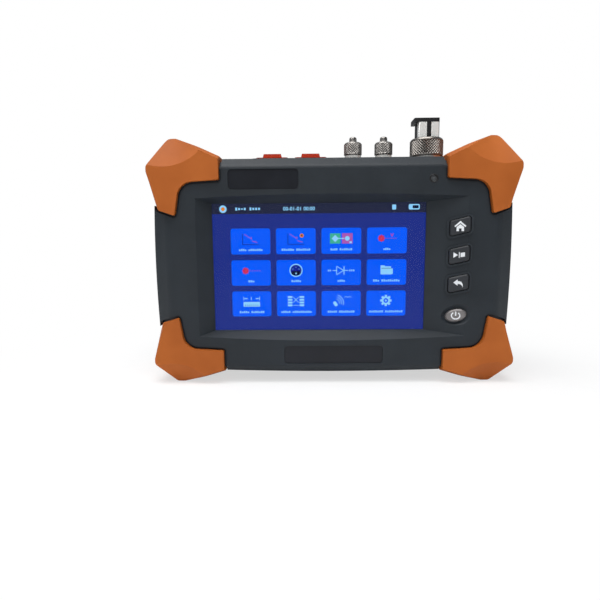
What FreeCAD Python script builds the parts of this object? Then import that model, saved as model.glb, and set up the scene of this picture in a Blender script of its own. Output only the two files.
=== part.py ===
import FreeCAD, Part
import math
import os

# Handheld optical time domain reflectometer (OTDR), millimetres.
# X runs to the right along the front, Z up, and the screen faces -Y.
# The origin is on the floor under the middle of the instrument, which
# stands on the flats of its two lower corner bumpers.

V = FreeCAD.Vector
REACH = 400.0                    # longer than anything in the model

# ------------------------------------------------------------------ housing
MIDDLE_HEIGHT = 60.2             # the line that the corner bumpers mirror in
HOUSING_HALF_WIDTH = 90.9        # at the crest of the bowed sides
SIDE_BOW = 1.0
HOUSING_TOP = 113.4
HOUSING_BOTTOM = 5.5             # crest of the bowed underside
BOTTOM_BOW = 2.0
HOUSING_DEPTH = 49.6
CORNER_RADIUS = 20.0
WALL = 3.2
SIDE_BEVEL_WIDTH = 8.9           # width of the sloped border in front view
SIDE_BEVEL_DEPTH = 6.5
TOP_CHAMFER_HEIGHT = 4.2
TOP_CHAMFER_DEPTH = 4.0
BOTTOM_CHAMFER_HEIGHT = 3.4
BOTTOM_CHAMFER_DEPTH = 3.2
SOFT_EDGE = 3.0                  # radius where the front meets its borders
SPLIT_BACK = 16.8                # parting plane, back from the front face
SEAM_WIDTH = 0.5                 # shadow gap along the parting line
SEAM_DEPTH = 0.7
SEAL_THICKNESS = 1.0
SEAL_WIDTH = 1.0
FIT = 0.1                        # slack between assembled pieces
RUNNING = 0.05                   # radial slack of a turning pin

# ---------------------------------------------------------- connector deck
DECK_RISE = 1.4                  # raised pad on top that carries the ports
DECK_LEFT = -43.5
DECK_RIGHT = 60.5
DECK_FRONT_BACK = 9.5            # its front edge, back from the front face
DECK_DEPTH = 31.0
DECK_SLOPE = 1.5                 # how far its edges lean in
PORT_BACK = 26.8                 # port centre line, back from the front face
PORT_PLATE_LEFT = -41.5          # plates trapped between the shells, with the sockets
PORT_PLATE_RIGHT = 1.5           # where the adapters' plate begins
ADAPTER_PLATE_RIGHT = 36.0
PORT_PLATE_BACK = 38.8           # their back edge, back from the front face

# ------------------------------------------------------------------ bumpers
BUMPER_PROUD = 1.6               # stands out of the front and back faces
BUMPER_BEDDED = 1.4              # depth of the rebate that it lies in
BUMPER_GAP = 1.2                 # width of the open line beside it
BUMPER_FLARE_DEPTH = 6.6         # over which its sides flare out
TOP_APEX = 63.5                  # reach of the upper bumpers from the middle
BOTTOM_APEX = 60.2               # reach of the lower bumpers
BUMPER_HALF_WIDTH = 93.2
FACET_RADIUS = 26.0
FACET_ACROSS = 83.0
FACET_UP = 75.0
FACET_SLOPE = 0.52
BUMPER_INNER = 55.8              # where the upper bumper begins, from the middle
BUMPER_INNER_UP = 52.5           # its top edge there, above the mirror line
BUMPER_APEX_ACROSS = 77.0
BUMPER_APEX_FLAT = 3.6
BUMPER_TOP_BULGE = 0.5
BUMPER_FLARE = 2.1               # how far the waist stands out past the face
METER_NOTCH = 0.4                # clearance round the meter port's ring

# ------------------------------------------------------------------- screen
SCREEN_WIDTH = 108.0             # five-inch 5:3 panel
SCREEN_HEIGHT = 64.8
SCREEN_ACROSS = -6.92
SCREEN_UP = 59.45
RECESS_DEPTH = 5.2               # the sloped well around the glass
RECESS_LEFT = 7.2                # width of each slope in front view
RECESS_RIGHT = 19.4
RECESS_TOP = 3.9                 # at the middle
RECESS_BOTTOM = 4.5
RECESS_TIP = 2.3                 # at the corners
RECESS_WALL = 2.4
LIP = 0.7
GASKET = 0.3
GLASS_BORDER = 3.0
GLASS = 1.1
PANEL_BORDER = 1.6
PANEL = 3.6
BRACKET = 0.8

# ------------------------------------------------------------------- keypad
KEY_ACROSS = 62.8
KEY_ROWS = (79.5, 65.4, 51.2)    # home, run and stop, back
KEY_WIDTH = 9.8
KEY_HEIGHT = 7.6
KEY_SLANT = 0.24                 # rise of the top edge per mm across
KEY_CORNER = 1.2
KEY_GAP = 0.35
RIM = 0.95                       # raised rim round each key
RIM_HEIGHT = 0.8
KEY_PROUD = 1.2
KEY_TRAVEL = 0.8
FLANGE = 1.0                     # keeper flange under the panel
FLANGE_BORDER = 0.8
POWER_ACROSS = 62.2
POWER_UP = 34.8
POWER_WIDTH = 10.2
POWER_HEIGHT = 6.2
DISH_WIDTH = 17.4
DISH_HEIGHT = 10.6
DISH_ACROSS = 63.5
DISH_UP = 35.4
DISH_SINK = 1.3
DISH_TURN = 14.0                 # degrees
DISH_SHELF = 0.8                 # ledge left round the power key
MAT = 0.8
SWITCH = 1.2
BOARD = 1.6                      # every circuit board

# ------------------------------------------------- small things on the front
UPPER_INLAY = (-34.2, 103.05, 34.6, 9.7)     # across, up, width, height
LOWER_INLAY = (0.35, 15.1, 50.3, 9.2)
INLAY_CORNER = 1.8
INLAY_SINK = 0.7
INLAY = 0.3
LAMP_ACROSS = 49.0
LAMP_UP = 102.6
LAMP_RADIUS = 2.1
LAMP_LENS_RADIUS = 1.5
LAMP_SINK = 0.8

# -------------------------------------------------------------------- ports
LAN_ACROSS = -31.1
SUPPLY_ACROSS = -10.7            # middle of the charging and data sockets
COVER_WIDTH = 16.7
COVER_DEPTH = 15.0
COVER = 1.8
COVER_LIFT = 0.05                # the flap just clears the deck
COVER_CORNER = 1.5
TAB_WIDTH = 10.6
TAB_HEIGHT = 2.3
TAB_DEPTH = 5.0
TAB_BACK = 2.3                   # back from the flap's front edge
TAB_LEAN = 0.7
PLUG_BORDER = 1.3
PLUG_DEPTH = 2.0
PLUG_GAP = 0.5
PLUG_HINGE_ROOM = 1.0
HINGE_GAP = 0.3
ANCHOR_DEPTH = 3.0
ANCHOR_HEIGHT = 1.0
LAN_JACK = (15.6, 13.2, 17.5)    # width, depth, height
LAN_SOCKET = (11.8, 7.0, 13.0)
DC_JACK = (8.0, 11.0, 14.0)
DC_BORE_RADIUS = 3.0
DC_BORE_DEPTH = 9.5
DC_PIN_RADIUS = 1.0
DC_ACROSS = -6.3
USB_JACK = (7.6, 3.0, 5.6)
USB_SLOT = (6.9, 1.9, 4.8)
USB_ACROSS = -14.2
PORT_BOARD_WIDTH = 40.5
PORT_BOARD_DROP = 17.8
OTDR_ACROSS = 12.2
LOCATOR_ACROSS = 28.65
THREAD_RADIUS = 4.0              # M8 x 0.75 fibre connector thread
THREAD_TOP = 8.2                 # above the deck
COLLAR_RADIUS = 5.8
COLLAR = 1.5
MOUTH_RADIUS = 3.1               # well round the ferrule tube
MOUTH_FLOOR = 3.0
TUBE_RADIUS = 2.2
TUBE_TOP = 7.2
ADAPTER_BODY_RADIUS = 4.6
ADAPTER_BELOW = 12.0             # length below the deck
FERRULE_RADIUS = 1.255           # bore for a 2.5 mm ferrule
SLEEVE = 0.4                     # wall of the alignment sleeve
SLEEVE_BELOW = 4.0
PIGTAIL_RADIUS = 1.7             # the laser's stub, which the sleeve stands on
KEY_SLOT_WIDTH = 2.1             # slot in the barrel for the connector's key
KEY_SLOT_RISE = 1.5              # its floor, above the floor of the mouth
NUT_FLATS = 12.0
NUT = 2.5
CAP_RADIUS = 4.95
CAP_NECK_RADIUS = 4.55
CAP_BOTTOM = 2.0                 # above the deck
KNURL_BOTTOM = 3.9
KNURL_TOP = 9.4
CAP_TOP = 10.5
CAP_ROOF = 1.7
CAP_SLACK = 0.12
KNOB_RADIUS = 2.1
KNOB_HEIGHT = 2.7
KNOB_HOLE_RADIUS = 0.75
METER_ACROSS = 51.7
METER_COLLAR_RADIUS = 8.3
METER_COLLAR = 2.0
METER_NOSE_RADIUS = 7.9
METER_NOSE_HEIGHT = 6.0
METER_BODY_RADIUS = 6.3
METER_BORE_RADIUS = 4.2
METER_BORE_BELOW = 8.0
METER_BELOW = 13.0
DETECTOR_RADIUS = 2.7
DETECTOR_WINDOW_RADIUS = 1.6
RING_RADIUS = 8.9
RING_BOTTOM = 2.2
RING_TOP = 11.6
RING_LIP = 2.2
RING_LIP_RADIUS = 7.35
RING_SLACK = 0.08
HEAD_WIDTH = 10.9                # square push-pull receptacle
HEAD_DEPTH = 9.4
HEAD_TOP = 19.7
HEAD_WALL = 0.95
HEAD_CORNER = 0.5
HEAD_FLOOR = 1.6
HEAD_FLANGE_SLACK = 0.13
KEYWAY = 2.3
DUST_PLUG_SLACK = 0.12
DUST_PLUG_INSERT = 3.4
DUST_PLATE = 2.0
DUST_LIFT = 0.05
DUST_OVERHANG = 0.1
DUST_LUG = 2.2
DUST_LUG_DROP = 0.2

# --------------------------------------------------------------------- back
DOOR = (100.0, 44.0)             # battery door, width and height
DOOR_UP = 54.5
DOOR_THICKNESS = 2.2
DOOR_LEDGE_SIDE = 7.0
DOOR_LEDGE = 2.0
DOOR_CORNER = 4.0
DOOR_SCREW_INSET = 3.6
DOOR_SCREW_SPREAD = 28.0
DOOR_BOSS_RADIUS = 2.6
DOOR_BOSS_DEPTH = 8.0
GRIP_COUNT = 5                   # finger grooves in the battery door
GRIP_PITCH = 4.0
GRIP_LENGTH = 30.0
GRIP_WIDTH = 1.4
GRIP_DEPTH = 0.6
TRAY_WALL = 1.6
TRAY_DEPTH = 22.0                # from the back face to the tray's floor
BATTERY = (83.0, 37.0, 16.5)
STAND_HALF_WIDTH = 66.0
STAND_ARM = 9.0
STAND_HINGE_UP = 90.6
STAND_FOOT_UP = 21.5
STAND_THICKNESS = 3.4
STAND_SINK = 3.8                 # depth of the channel that it folds into
STAND_GAP = 0.5
STAND_CORNER = 9.0
STAND_PIN_RADIUS = 1.2
STAND_PIN_LENGTH = 2.6
STAND_PAD = 1.2
STAND_PAD_WIDTH = 44.0
STAND_WALL = 2.2
STAND_CHEEK = 3.6
FINGER_WIDTH = 24.0
FINGER_HEIGHT = 5.0

# ------------------------------------------------------------ boards, inside
STANDOFF_PLACES = [(-56.0, 99.6), (24.0, 99.6), (-56.0, 18.6), (24.0, 18.6)]
STANDOFF_RADIUS = 2.6
STANDOFF_LENGTH = 3.3
SMALL_SCREW_RADIUS = 1.25
SMALL_HEAD_RADIUS = 2.3
SMALL_HEAD = 1.4
SHELL_SCREWS = [(-77.0, 42.6), (-77.0, 76.6), (77.0, 42.6), (77.0, 76.6),
                (-48.0, 107.0), (40.0, 107.0), (-48.0, 12.6), (48.0, 12.6)]
SHELL_BOSS_RADIUS = 3.6
SHELL_SCREW_RADIUS = 1.5
SHELL_HEAD_RADIUS = 2.8
SHELL_HEAD = 2.0
SHELL_HEAD_SINK = 3.0
SHELL_SCREW_LENGTH = 34.0
MAIN_BOARD = (138.0, 85.0)
MAIN_BOARD_UP = 59.5
BRACKET_BAND = 11.0
KEY_BOARD = (15.0, 67.0)
KEY_BOARD_UP = 57.9
KEY_MAT_HEIGHT = 57.5
KEY_BOARD_HOLE_INSET = 2.4
KEY_BOSS_RADIUS = 2.2
OPTICS = (58.0, 22.0, 17.0)      # width, height, depth
OPTICS_ACROSS = 33.0
OPTICS_UP = 88.5
OPTICS_FOOT = 3.0

# ---------------------------------------------------- places that follow on
FRONT = -HOUSING_DEPTH / 2
BACK = HOUSING_DEPTH / 2
SPLIT = FRONT + SPLIT_BACK
PORT_Y = FRONT + PORT_BACK
DECK = HOUSING_TOP + DECK_RISE
GLASS_FRONT = FRONT + RECESS_DEPTH + LIP + GASKET
PANEL_FRONT = GLASS_FRONT + GLASS
BRACKET_FRONT = PANEL_FRONT + PANEL
BOARD_FRONT = BRACKET_FRONT + BRACKET + STANDOFF_LENGTH
BOARD_BACK = BOARD_FRONT + BOARD


# ------------------------------------------------------------------ helpers
def to_front(a, b):
    """A point across and up, in the plane of the front view."""
    return V(a, 0, b)


def to_plan(a, b):
    return V(a, b, 0)


def to_side(a, b):
    return V(0, a, b)


def inset_corners(corners, inset):
    """Moves every side of a counter-clockwise polygon inwards."""
    moved = []
    count = len(corners)
    for i in range(count):
        before, here, after = corners[i - 1], corners[i], corners[(i + 1) % count]
        ux, uy = here[0] - before[0], here[1] - before[1]
        wx, wy = after[0] - here[0], after[1] - here[1]
        u_len, w_len = math.hypot(ux, uy), math.hypot(wx, wy)
        ux, uy, wx, wy = ux / u_len, uy / u_len, wx / w_len, wy / w_len
        cross = ux * wy - uy * wx
        shift = inset * (1 - (ux * wx + uy * wy)) / cross
        x = here[0] - inset * uy - ux * shift
        y = here[1] + inset * ux - uy * shift
        radius = here[2] - inset if cross > 0 else here[2] + inset
        moved.append((x, y, max(radius, 0.2)))
    return moved


def rounded_wire(corners, place, inset=0.0):
    """A closed wire of straight sides and tangent arcs at the corners."""
    if inset:
        corners = inset_corners(corners, inset)
    starts, middles, ends = [], [], []
    count = len(corners)
    for i in range(count):
        before, here, after = corners[i - 1], corners[i], corners[(i + 1) % count]
        ux, uy = before[0] - here[0], before[1] - here[1]
        wx, wy = after[0] - here[0], after[1] - here[1]
        u_len, w_len = math.hypot(ux, uy), math.hypot(wx, wy)
        ux, uy, wx, wy = ux / u_len, uy / u_len, wx / w_len, wy / w_len
        half = math.acos(max(-1, min(1, ux * wx + uy * wy))) / 2
        run = min(here[2] / math.tan(half), 0.45 * u_len, 0.45 * w_len)
        radius = run * math.tan(half)
        bx, by = ux + wx, uy + wy
        b_len = math.hypot(bx, by)
        out = radius / math.sin(half) - radius
        starts.append(place(here[0] + ux * run, here[1] + uy * run))
        middles.append(place(here[0] + bx / b_len * out, here[1] + by / b_len * out))
        ends.append(place(here[0] + wx * run, here[1] + wy * run))
    edges = []
    for i in range(count):
        edges.append(Part.Arc(starts[i], middles[i], ends[i]).toShape())
        edges.append(Part.LineSegment(ends[i], starts[(i + 1) % count]).toShape())
    return Part.Wire(edges)


def slab(corners, place, low, high, axis, inset=0.0):
    """A rounded outline made into a plate from low to high along an axis."""
    wire = rounded_wire(corners, place, inset)
    wire.translate(axis * low)
    return Part.Face(wire).extrude(axis * (high - low))


def rectangle(across, up, width, height, corner):
    a, b = width / 2, height / 2
    return [(across - a, up - b, corner), (across + a, up - b, corner),
            (across + a, up + b, corner), (across - a, up + b, corner)]


def front_plate(across, up, width, height, corner, low, high):
    """A rounded plate facing the front, from y = low to y = high."""
    return slab(rectangle(across, up, width, height, corner), to_front, low, high, V(0, 1, 0))


def deck_block(across, width, depth, low, high, corner=0.6, y=None):
    """A rounded upright block on the port line, from z = low to z = high."""
    centre = PORT_Y if y is None else y
    return slab(rectangle(across, centre, width, depth, corner), to_plan, low, high, V(0, 0, 1))


def rod(across, up, radius, low, high):
    """A cylinder along Y."""
    return Part.makeCylinder(radius, high - low, V(across, low, up), V(0, 1, 0))


def post(across, y, radius, low, high):
    """A cylinder along Z."""
    return Part.makeCylinder(radius, high - low, V(across, y, low), V(0, 0, 1))


def turned(profile, across, y):
    """Revolves (radius, height) points about an upright axis."""
    points = [V(across + r, y, z) for r, z in profile]
    face = Part.Face(Part.makePolygon(points + points[:1]))
    return face.revolve(V(across, y, 0), V(0, 0, 1), 360)


def between(low, high):
    """All space from y = low to y = high."""
    return Part.makeBox(REACH, high - low, REACH, V(-REACH / 2, low, -REACH / 2))


def mirrored(shape, right, top):
    """Takes the upper right corner's piece to any of the four corners."""
    if not right:
        shape = shape.mirror(V(0, 0, 0), V(1, 0, 0))
    if not top:
        shape = shape.mirror(V(0, 0, MIDDLE_HEIGHT), V(0, 0, 1))
    return shape


pieces = {}


def keep(name, shape):
    """Stores a piece as one clean solid, or as a group of solids."""
    solids = shape.Solids
    pieces[name] = solids[0] if len(solids) == 1 else Part.makeCompound(solids)


# ------------------------------------------------------------ housing blank
def housing_blank(inset=0.0):
    """The outer form: a bowed outline trimmed by its plan and side profiles."""
    end = HOUSING_HALF_WIDTH - SIDE_BOW - inset
    crest = HOUSING_HALF_WIDTH - inset
    top = HOUSING_TOP - inset
    low_end = HOUSING_BOTTOM + BOTTOM_BOW + inset
    low_crest = HOUSING_BOTTOM + inset
    r = CORNER_RADIUS - inset
    k = r * math.sqrt(0.5)
    mid = (top + low_end) / 2

    def arc(a, b, c):
        return Part.Arc(to_front(*a), to_front(*b), to_front(*c)).toShape()

    def corner(sign_x, sign_z):
        cx = sign_x * (end - r)
        cz = top - r if sign_z > 0 else low_end + r
        return [(cx, cz + sign_z * r), (cx + sign_x * k, cz + sign_z * k), (cx + sign_x * r, cz)]

    bl, br = corner(-1, -1), corner(1, -1)
    tl, tr = corner(-1, 1), corner(1, 1)
    outline = Part.Wire([
        arc(bl[0], (0, low_crest), br[0]), arc(*br),
        arc(br[2], (crest, mid), tr[2]), arc(*tr[::-1]),
        Part.LineSegment(to_front(*tr[0]), to_front(*tl[0])).toShape(), arc(*tl),
        arc(tl[2], (-crest, mid), bl[2]), arc(*bl[::-1])])
    outline.translate(V(0, -REACH / 2, 0))
    body = Part.Face(outline).extrude(V(0, REACH, 0))

    over = 3.0                   # the profiles run past the outline
    wide = HOUSING_HALF_WIDTH
    run = over * SIDE_BEVEL_DEPTH / SIDE_BEVEL_WIDTH
    flat = wide - SIDE_BEVEL_WIDTH
    deep = SIDE_BEVEL_DEPTH + run
    soft = 2.5 * SOFT_EDGE
    plan = [(-flat, FRONT, soft), (flat, FRONT, soft), (wide + over, FRONT + deep, 1),
            (wide + over, BACK - deep, 1), (flat, BACK, soft), (-flat, BACK, soft),
            (-wide - over, BACK - deep, 1), (-wide - over, FRONT + deep, 1)]
    top_run = over * TOP_CHAMFER_DEPTH / TOP_CHAMFER_HEIGHT
    low_run = over * BOTTOM_CHAMFER_DEPTH / BOTTOM_CHAMFER_HEIGHT
    high, low = HOUSING_TOP, HOUSING_BOTTOM
    side = [(FRONT, low + BOTTOM_CHAMFER_HEIGHT, SOFT_EDGE),
            (FRONT + BOTTOM_CHAMFER_DEPTH + low_run, low - over, 1),
            (BACK - BOTTOM_CHAMFER_DEPTH - low_run, low - over, 1),
            (BACK, low + BOTTOM_CHAMFER_HEIGHT, SOFT_EDGE),
            (BACK, high - TOP_CHAMFER_HEIGHT, SOFT_EDGE),
            (BACK - TOP_CHAMFER_DEPTH - top_run, high + over, 1),
            (FRONT + TOP_CHAMFER_DEPTH + top_run, high + over, 1),
            (FRONT, high - TOP_CHAMFER_HEIGHT, SOFT_EDGE)]
    body = body.common(slab(plan, to_plan, -REACH, REACH, V(0, 0, 1), inset))
    return body.common(slab(side, to_side, -REACH, REACH, V(1, 0, 0), inset))


def deck_pad():
    """The raised pad on top, a low block whose edges lean in."""
    middle = (DECK_LEFT + DECK_RIGHT) / 2
    width = DECK_RIGHT - DECK_LEFT
    y = FRONT + DECK_FRONT_BACK + DECK_DEPTH / 2
    foot = rounded_wire(rectangle(middle, y, width, DECK_DEPTH, 5), to_plan)
    crown = rounded_wire(rectangle(middle, y, width, DECK_DEPTH, 5), to_plan, DECK_SLOPE)
    base = HOUSING_TOP - WALL / 2
    foot.translate(V(0, 0, base))
    crown.translate(V(0, 0, DECK))
    return Part.makeLoft([foot, crown], True, True)


# ------------------------------------------------------------------ bumpers
def bumper_corners(apex, flare):
    """The bumper's outline in the upper right corner, at its face or flared."""
    across, reach = BUMPER_APEX_ACROSS, apex - BUMPER_FLARE
    side = BUMPER_HALF_WIDTH - BUMPER_FLARE
    mid_across = (BUMPER_INNER + across) / 2
    mid_up = (BUMPER_INNER_UP + reach) / 2 + BUMPER_TOP_BULGE
    corners = [
        (BUMPER_INNER, 42.7, 0.8, 0, 0), (75.4, 41.6, 8.0, 0, 0), (78.1, 25.5, 0.8, 0, 0),
        (85.8, 28.1, 1.5, 2.4, 0.8), (87.0, 33.0, 6.0, 2.4, 0.2),
        (side, 46.6, 4.0, BUMPER_FLARE, 1.0), (side, 49.4, 3.0, BUMPER_FLARE, 1.0),
        (across + BUMPER_APEX_FLAT, reach, 3.0, 0.8, BUMPER_FLARE),
        (across, reach, 3.0, 0.8, BUMPER_FLARE),
        (mid_across, mid_up, 60.0, 0.4, BUMPER_FLARE),
        (BUMPER_INNER, BUMPER_INNER_UP, 1.0, 0, BUMPER_FLARE)]
    return [(a + flare * fa, MIDDLE_HEIGHT + b + flare * fb, r) for a, b, r, fa, fb in corners]


def bumper_blank(apex):
    """Face, flared waist and face again, with the outer facets cut away."""
    face = -(HOUSING_DEPTH / 2 + BUMPER_PROUD)
    waist = face + BUMPER_FLARE_DEPTH
    sections = []
    for y, flare in ((face, 0), (waist, 1), (-waist, 1), (-face, 0)):
        wire = rounded_wire(bumper_corners(apex, flare), to_front)
        wire.translate(V(0, y, 0))
        sections.append(wire)
    body = Part.makeLoft(sections, True, True)
    depth = FACET_RADIUS * FACET_SLOPE
    up = MIDDLE_HEIGHT + FACET_UP
    over = 1.0
    wide = FACET_RADIUS + over / FACET_SLOPE
    front_pit = Part.makeCone(wide, 0, depth + over, V(FACET_ACROSS, face - over, up), V(0, 1, 0))
    back_pit = Part.makeCone(wide, 0, depth + over, V(FACET_ACROSS, over - face, up), V(0, -1, 0))
    return body.cut(front_pit).cut(back_pit)


def bumper_zone(apex):
    """The space that the housing leaves round a bumper."""
    zone = slab(bumper_corners(apex, 1), to_front, -REACH / 2, REACH / 2, V(0, 1, 0), -BUMPER_GAP)
    corner = Part.makeBox(60, REACH, 60, V(70, -REACH / 2, MIDDLE_HEIGHT + 44))
    return zone.fuse(corner)


CORNERS = [("upper_left", False, True), ("upper_right", True, True),
           ("lower_left", False, False), ("lower_right", True, False)]

blank = housing_blank()
bedded = housing_blank(BUMPER_BEDDED)
rebates = None
for name, right, top in CORNERS:
    apex = TOP_APEX if top else BOTTOM_APEX
    zone = mirrored(bumper_zone(apex), right, top)
    rebates = zone if rebates is None else rebates.fuse(zone)
pad = deck_pad()
outer = blank.cut(rebates.cut(bedded)).fuse(pad)
port_notch = post(METER_ACROSS, PORT_Y, RING_RADIUS + METER_NOTCH, DECK - DECK_RISE - WALL / 2,
                  DECK + RING_TOP)
bumper_seat = bedded.fuse(pad).fuse(port_notch)
for name, right, top in CORNERS:
    apex = TOP_APEX if top else BOTTOM_APEX
    keep("bumper_" + name, mirrored(bumper_blank(apex), right, top).cut(bumper_seat))


# -------------------------------------------------------------- screen well
def well(grow=0.0):
    """The sloped well round the screen; grow widens it for the wall behind."""
    ahead = 2.0
    share = ahead / RECESS_DEPTH
    half_w, half_h = SCREEN_WIDTH / 2 + grow, SCREEN_HEIGHT / 2 + grow

    def ring(left, right, top, bottom, tip, y):
        x0, x1 = SCREEN_ACROSS - half_w - left, SCREEN_ACROSS + half_w + right
        z0, z1 = SCREEN_UP - half_h - tip, SCREEN_UP + half_h + tip
        xm = SCREEN_ACROSS
        points = [V(x0, y, z0), V(x1, y, z0), V(x1, y, z1), V(x0, y, z1)]
        if top == 0:
            sides = [Part.LineSegment(points[i], points[(i + 1) % 4]).toShape() for i in range(4)]
        else:
            low = V(xm, y, SCREEN_UP - half_h - bottom)
            high = V(xm, y, SCREEN_UP + half_h + top)
            sides = [Part.Arc(points[0], low, points[1]).toShape(),
                     Part.LineSegment(points[1], points[2]).toShape(),
                     Part.Arc(points[2], high, points[3]).toShape(),
                     Part.LineSegment(points[3], points[0]).toShape()]
        return Part.Wire(sides)

    k = 1 + share
    mouth = ring(RECESS_LEFT * k, RECESS_RIGHT * k, RECESS_TOP * k, RECESS_BOTTOM * k,
                 RECESS_TIP * k, FRONT - ahead)
    floor = ring(0, 0, 0, 0, 0, FRONT + RECESS_DEPTH)
    return Part.makeLoft([mouth, floor], True, True)


# --------------------------------------------------- the sloped keypad panel
PANEL_ANGLE = math.degrees(math.atan2(RECESS_DEPTH, RECESS_RIGHT))
PANEL_EDGE = SCREEN_ACROSS + SCREEN_WIDTH / 2 + RECESS_RIGHT


def on_panel(shape, across, up):
    """Puts a shape drawn facing -Y at the origin onto the sloped panel."""
    placed = shape.copy()
    placed.rotate(V(0, 0, 0), V(0, 0, 1), -PANEL_ANGLE)
    back = (PANEL_EDGE - across) * RECESS_DEPTH / RECESS_RIGHT
    placed.translate(V(across, FRONT + back, up))
    return placed


def key_corners(grow=0.0):
    """A key's face: upright sides, top and bottom slanting up to the right."""
    a, b = KEY_WIDTH / 2, KEY_HEIGHT / 2
    s = KEY_SLANT * a
    corners = [(-a, -b - s, KEY_CORNER), (a, -b + s, KEY_CORNER),
               (a, b + s, KEY_CORNER), (-a, b - s, KEY_CORNER)]
    return inset_corners(corners, -grow) if grow else corners


def key_plate(grow, low, high):
    return slab(key_corners(grow), to_front, low, high, V(0, 1, 0))


def oval(width, height, low, high, width_end=None, height_end=None):
    """An oval plug along Y, tapering when end sizes are given."""
    wires = []
    for y, w, h in ((low, width, height), (high, width_end or width, height_end or height)):
        curve = Part.Ellipse(V(0, 0, 0), w / 2, h / 2)
        wire = Part.Wire(curve.toShape())
        wire.rotate(V(0, 0, 0), V(1, 0, 0), 90)
        wire.rotate(V(0, 0, 0), V(0, 1, 0), -DISH_TURN)
        wire.translate(V(0, y, 0))
        wires.append(wire)
    return Part.makeLoft(wires, True, True)


def dish_pit():
    """The finger dish round the power key, an oval funnel set off to the right."""
    floor_w, floor_h = POWER_WIDTH + 2 * DISH_SHELF, POWER_HEIGHT + 2 * DISH_SHELF
    mouth_w, mouth_h = 2 * DISH_WIDTH - floor_w, 2 * DISH_HEIGHT - floor_h
    mouth = Part.Wire(Part.Ellipse(V(0, 0, 0), mouth_w / 2, mouth_h / 2).toShape())
    floor = Part.Wire(Part.Ellipse(V(0, 0, 0), floor_w / 2, floor_h / 2).toShape())
    for wire in (mouth, floor):
        wire.rotate(V(0, 0, 0), V(1, 0, 0), 90)
        wire.rotate(V(0, 0, 0), V(0, 1, 0), -DISH_TURN)
    mouth.translate(V(2 * (DISH_ACROSS - POWER_ACROSS), -DISH_SINK, 2 * (DISH_UP - POWER_UP)))
    floor.translate(V(0, DISH_SINK, 0))
    return Part.makeLoft([mouth, floor], True, True)


# ------------------------------------------------------------- front shell
cavity = housing_blank(WALL)
well_block = well(RECESS_WALL / 2)
well_block.translate(V(0, RECESS_WALL / math.cos(math.radians(PANEL_ANGLE)), 0))
well_block = well_block.common(between(FRONT - REACH / 2, FRONT + RECESS_DEPTH + LIP))
seam_ring = blank.fuse(pad).cut(housing_blank(SEAM_DEPTH)).cut(pad)
seam = seam_ring.common(between(SPLIT - SEAM_WIDTH / 2, SPLIT + SEAM_WIDTH / 2))
SEAL_INSET = BUMPER_BEDDED + 0.4
seal_ring = housing_blank(SEAL_INSET).cut(housing_blank(SEAL_INSET + SEAL_WIDTH))
seal = seal_ring.common(between(SPLIT, SPLIT + SEAL_THICKNESS))
keep("case_seal", seal)

KEY_BACK = RECESS_WALL + RUNNING                 # faces behind the panel skin
FLANGE_BACK = KEY_BACK + FLANGE
MAT_FRONT = FLANGE_BACK + KEY_TRAVEL + FIT
MAT_BACK = MAT_FRONT + MAT
KEY_BOARD_FRONT = MAT_BACK + SWITCH
KEY_BOARD_BACK = KEY_BOARD_FRONT + BOARD
KEY_ROOM = KEY_BOARD_BACK + 6.0
half_board = KEY_BOARD[1] / 2 - KEY_BOARD_HOLE_INSET
KEY_BOARD_HOLES = (KEY_BOARD_UP + half_board, KEY_BOARD_UP - half_board)

front_shell = outer.common(between(FRONT - 5, SPLIT))
front_shell = front_shell.cut(cavity.common(between(FRONT, SPLIT + 1)).cut(well_block))
front_shell = front_shell.cut(well())
front_shell = front_shell.cut(Part.makeBox(
    SCREEN_WIDTH, LIP + 1, SCREEN_HEIGHT,
    V(SCREEN_ACROSS - SCREEN_WIDTH / 2, FRONT + RECESS_DEPTH - 0.5,
      SCREEN_UP - SCREEN_HEIGHT / 2)))
for up in KEY_ROWS:
    rim = key_plate(KEY_GAP + RIM, -RIM_HEIGHT, RECESS_WALL / 2)
    front_shell = front_shell.fuse(on_panel(rim, KEY_ACROSS, up))
for up in KEY_ROWS:
    hole = key_plate(KEY_GAP, -4, RECESS_WALL)
    room = key_plate(FLANGE_BORDER + 2 * KEY_GAP, RECESS_WALL, KEY_ROOM)
    front_shell = front_shell.cut(on_panel(hole, KEY_ACROSS, up))
    front_shell = front_shell.cut(on_panel(room, KEY_ACROSS, up))
dish = dish_pit()
hole = oval(POWER_WIDTH + 2 * KEY_GAP, POWER_HEIGHT + 2 * KEY_GAP, 0, RECESS_WALL)
room_border = 2 * (FLANGE_BORDER + 2 * KEY_GAP)
room = oval(POWER_WIDTH + room_border, POWER_HEIGHT + room_border, RECESS_WALL, KEY_ROOM)
for tool in (dish, hole, room):
    front_shell = front_shell.cut(on_panel(tool, POWER_ACROSS, POWER_UP))
for across, up, width, height in (UPPER_INLAY, LOWER_INLAY):
    bed = front_plate(across, up, width, height, INLAY_CORNER, FRONT - 1, FRONT + INLAY_SINK)
    front_shell = front_shell.cut(bed)
front_shell = front_shell.cut(rod(LAMP_ACROSS, LAMP_UP, LAMP_RADIUS, FRONT - 1,
                                  FRONT + LAMP_SINK))
front_shell = front_shell.cut(rod(LAMP_ACROSS, LAMP_UP, LAMP_LENS_RADIUS + RUNNING,
                                  FRONT, FRONT + WALL + 1))
for up in KEY_BOARD_HOLES:
    boss = rod(0, 0, KEY_BOSS_RADIUS, RECESS_WALL / 2, KEY_BOARD_FRONT)
    front_shell = front_shell.fuse(on_panel(boss, KEY_ACROSS, up))
    bore = rod(0, 0, SMALL_SCREW_RADIUS + RUNNING, RECESS_WALL, KEY_BOARD_BACK)
    front_shell = front_shell.cut(on_panel(bore, KEY_ACROSS, up))
for across, up in SHELL_SCREWS:
    boss = rod(across, up, SHELL_BOSS_RADIUS, FRONT + WALL - 0.5, SPLIT)
    front_shell = front_shell.fuse(boss)
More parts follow.
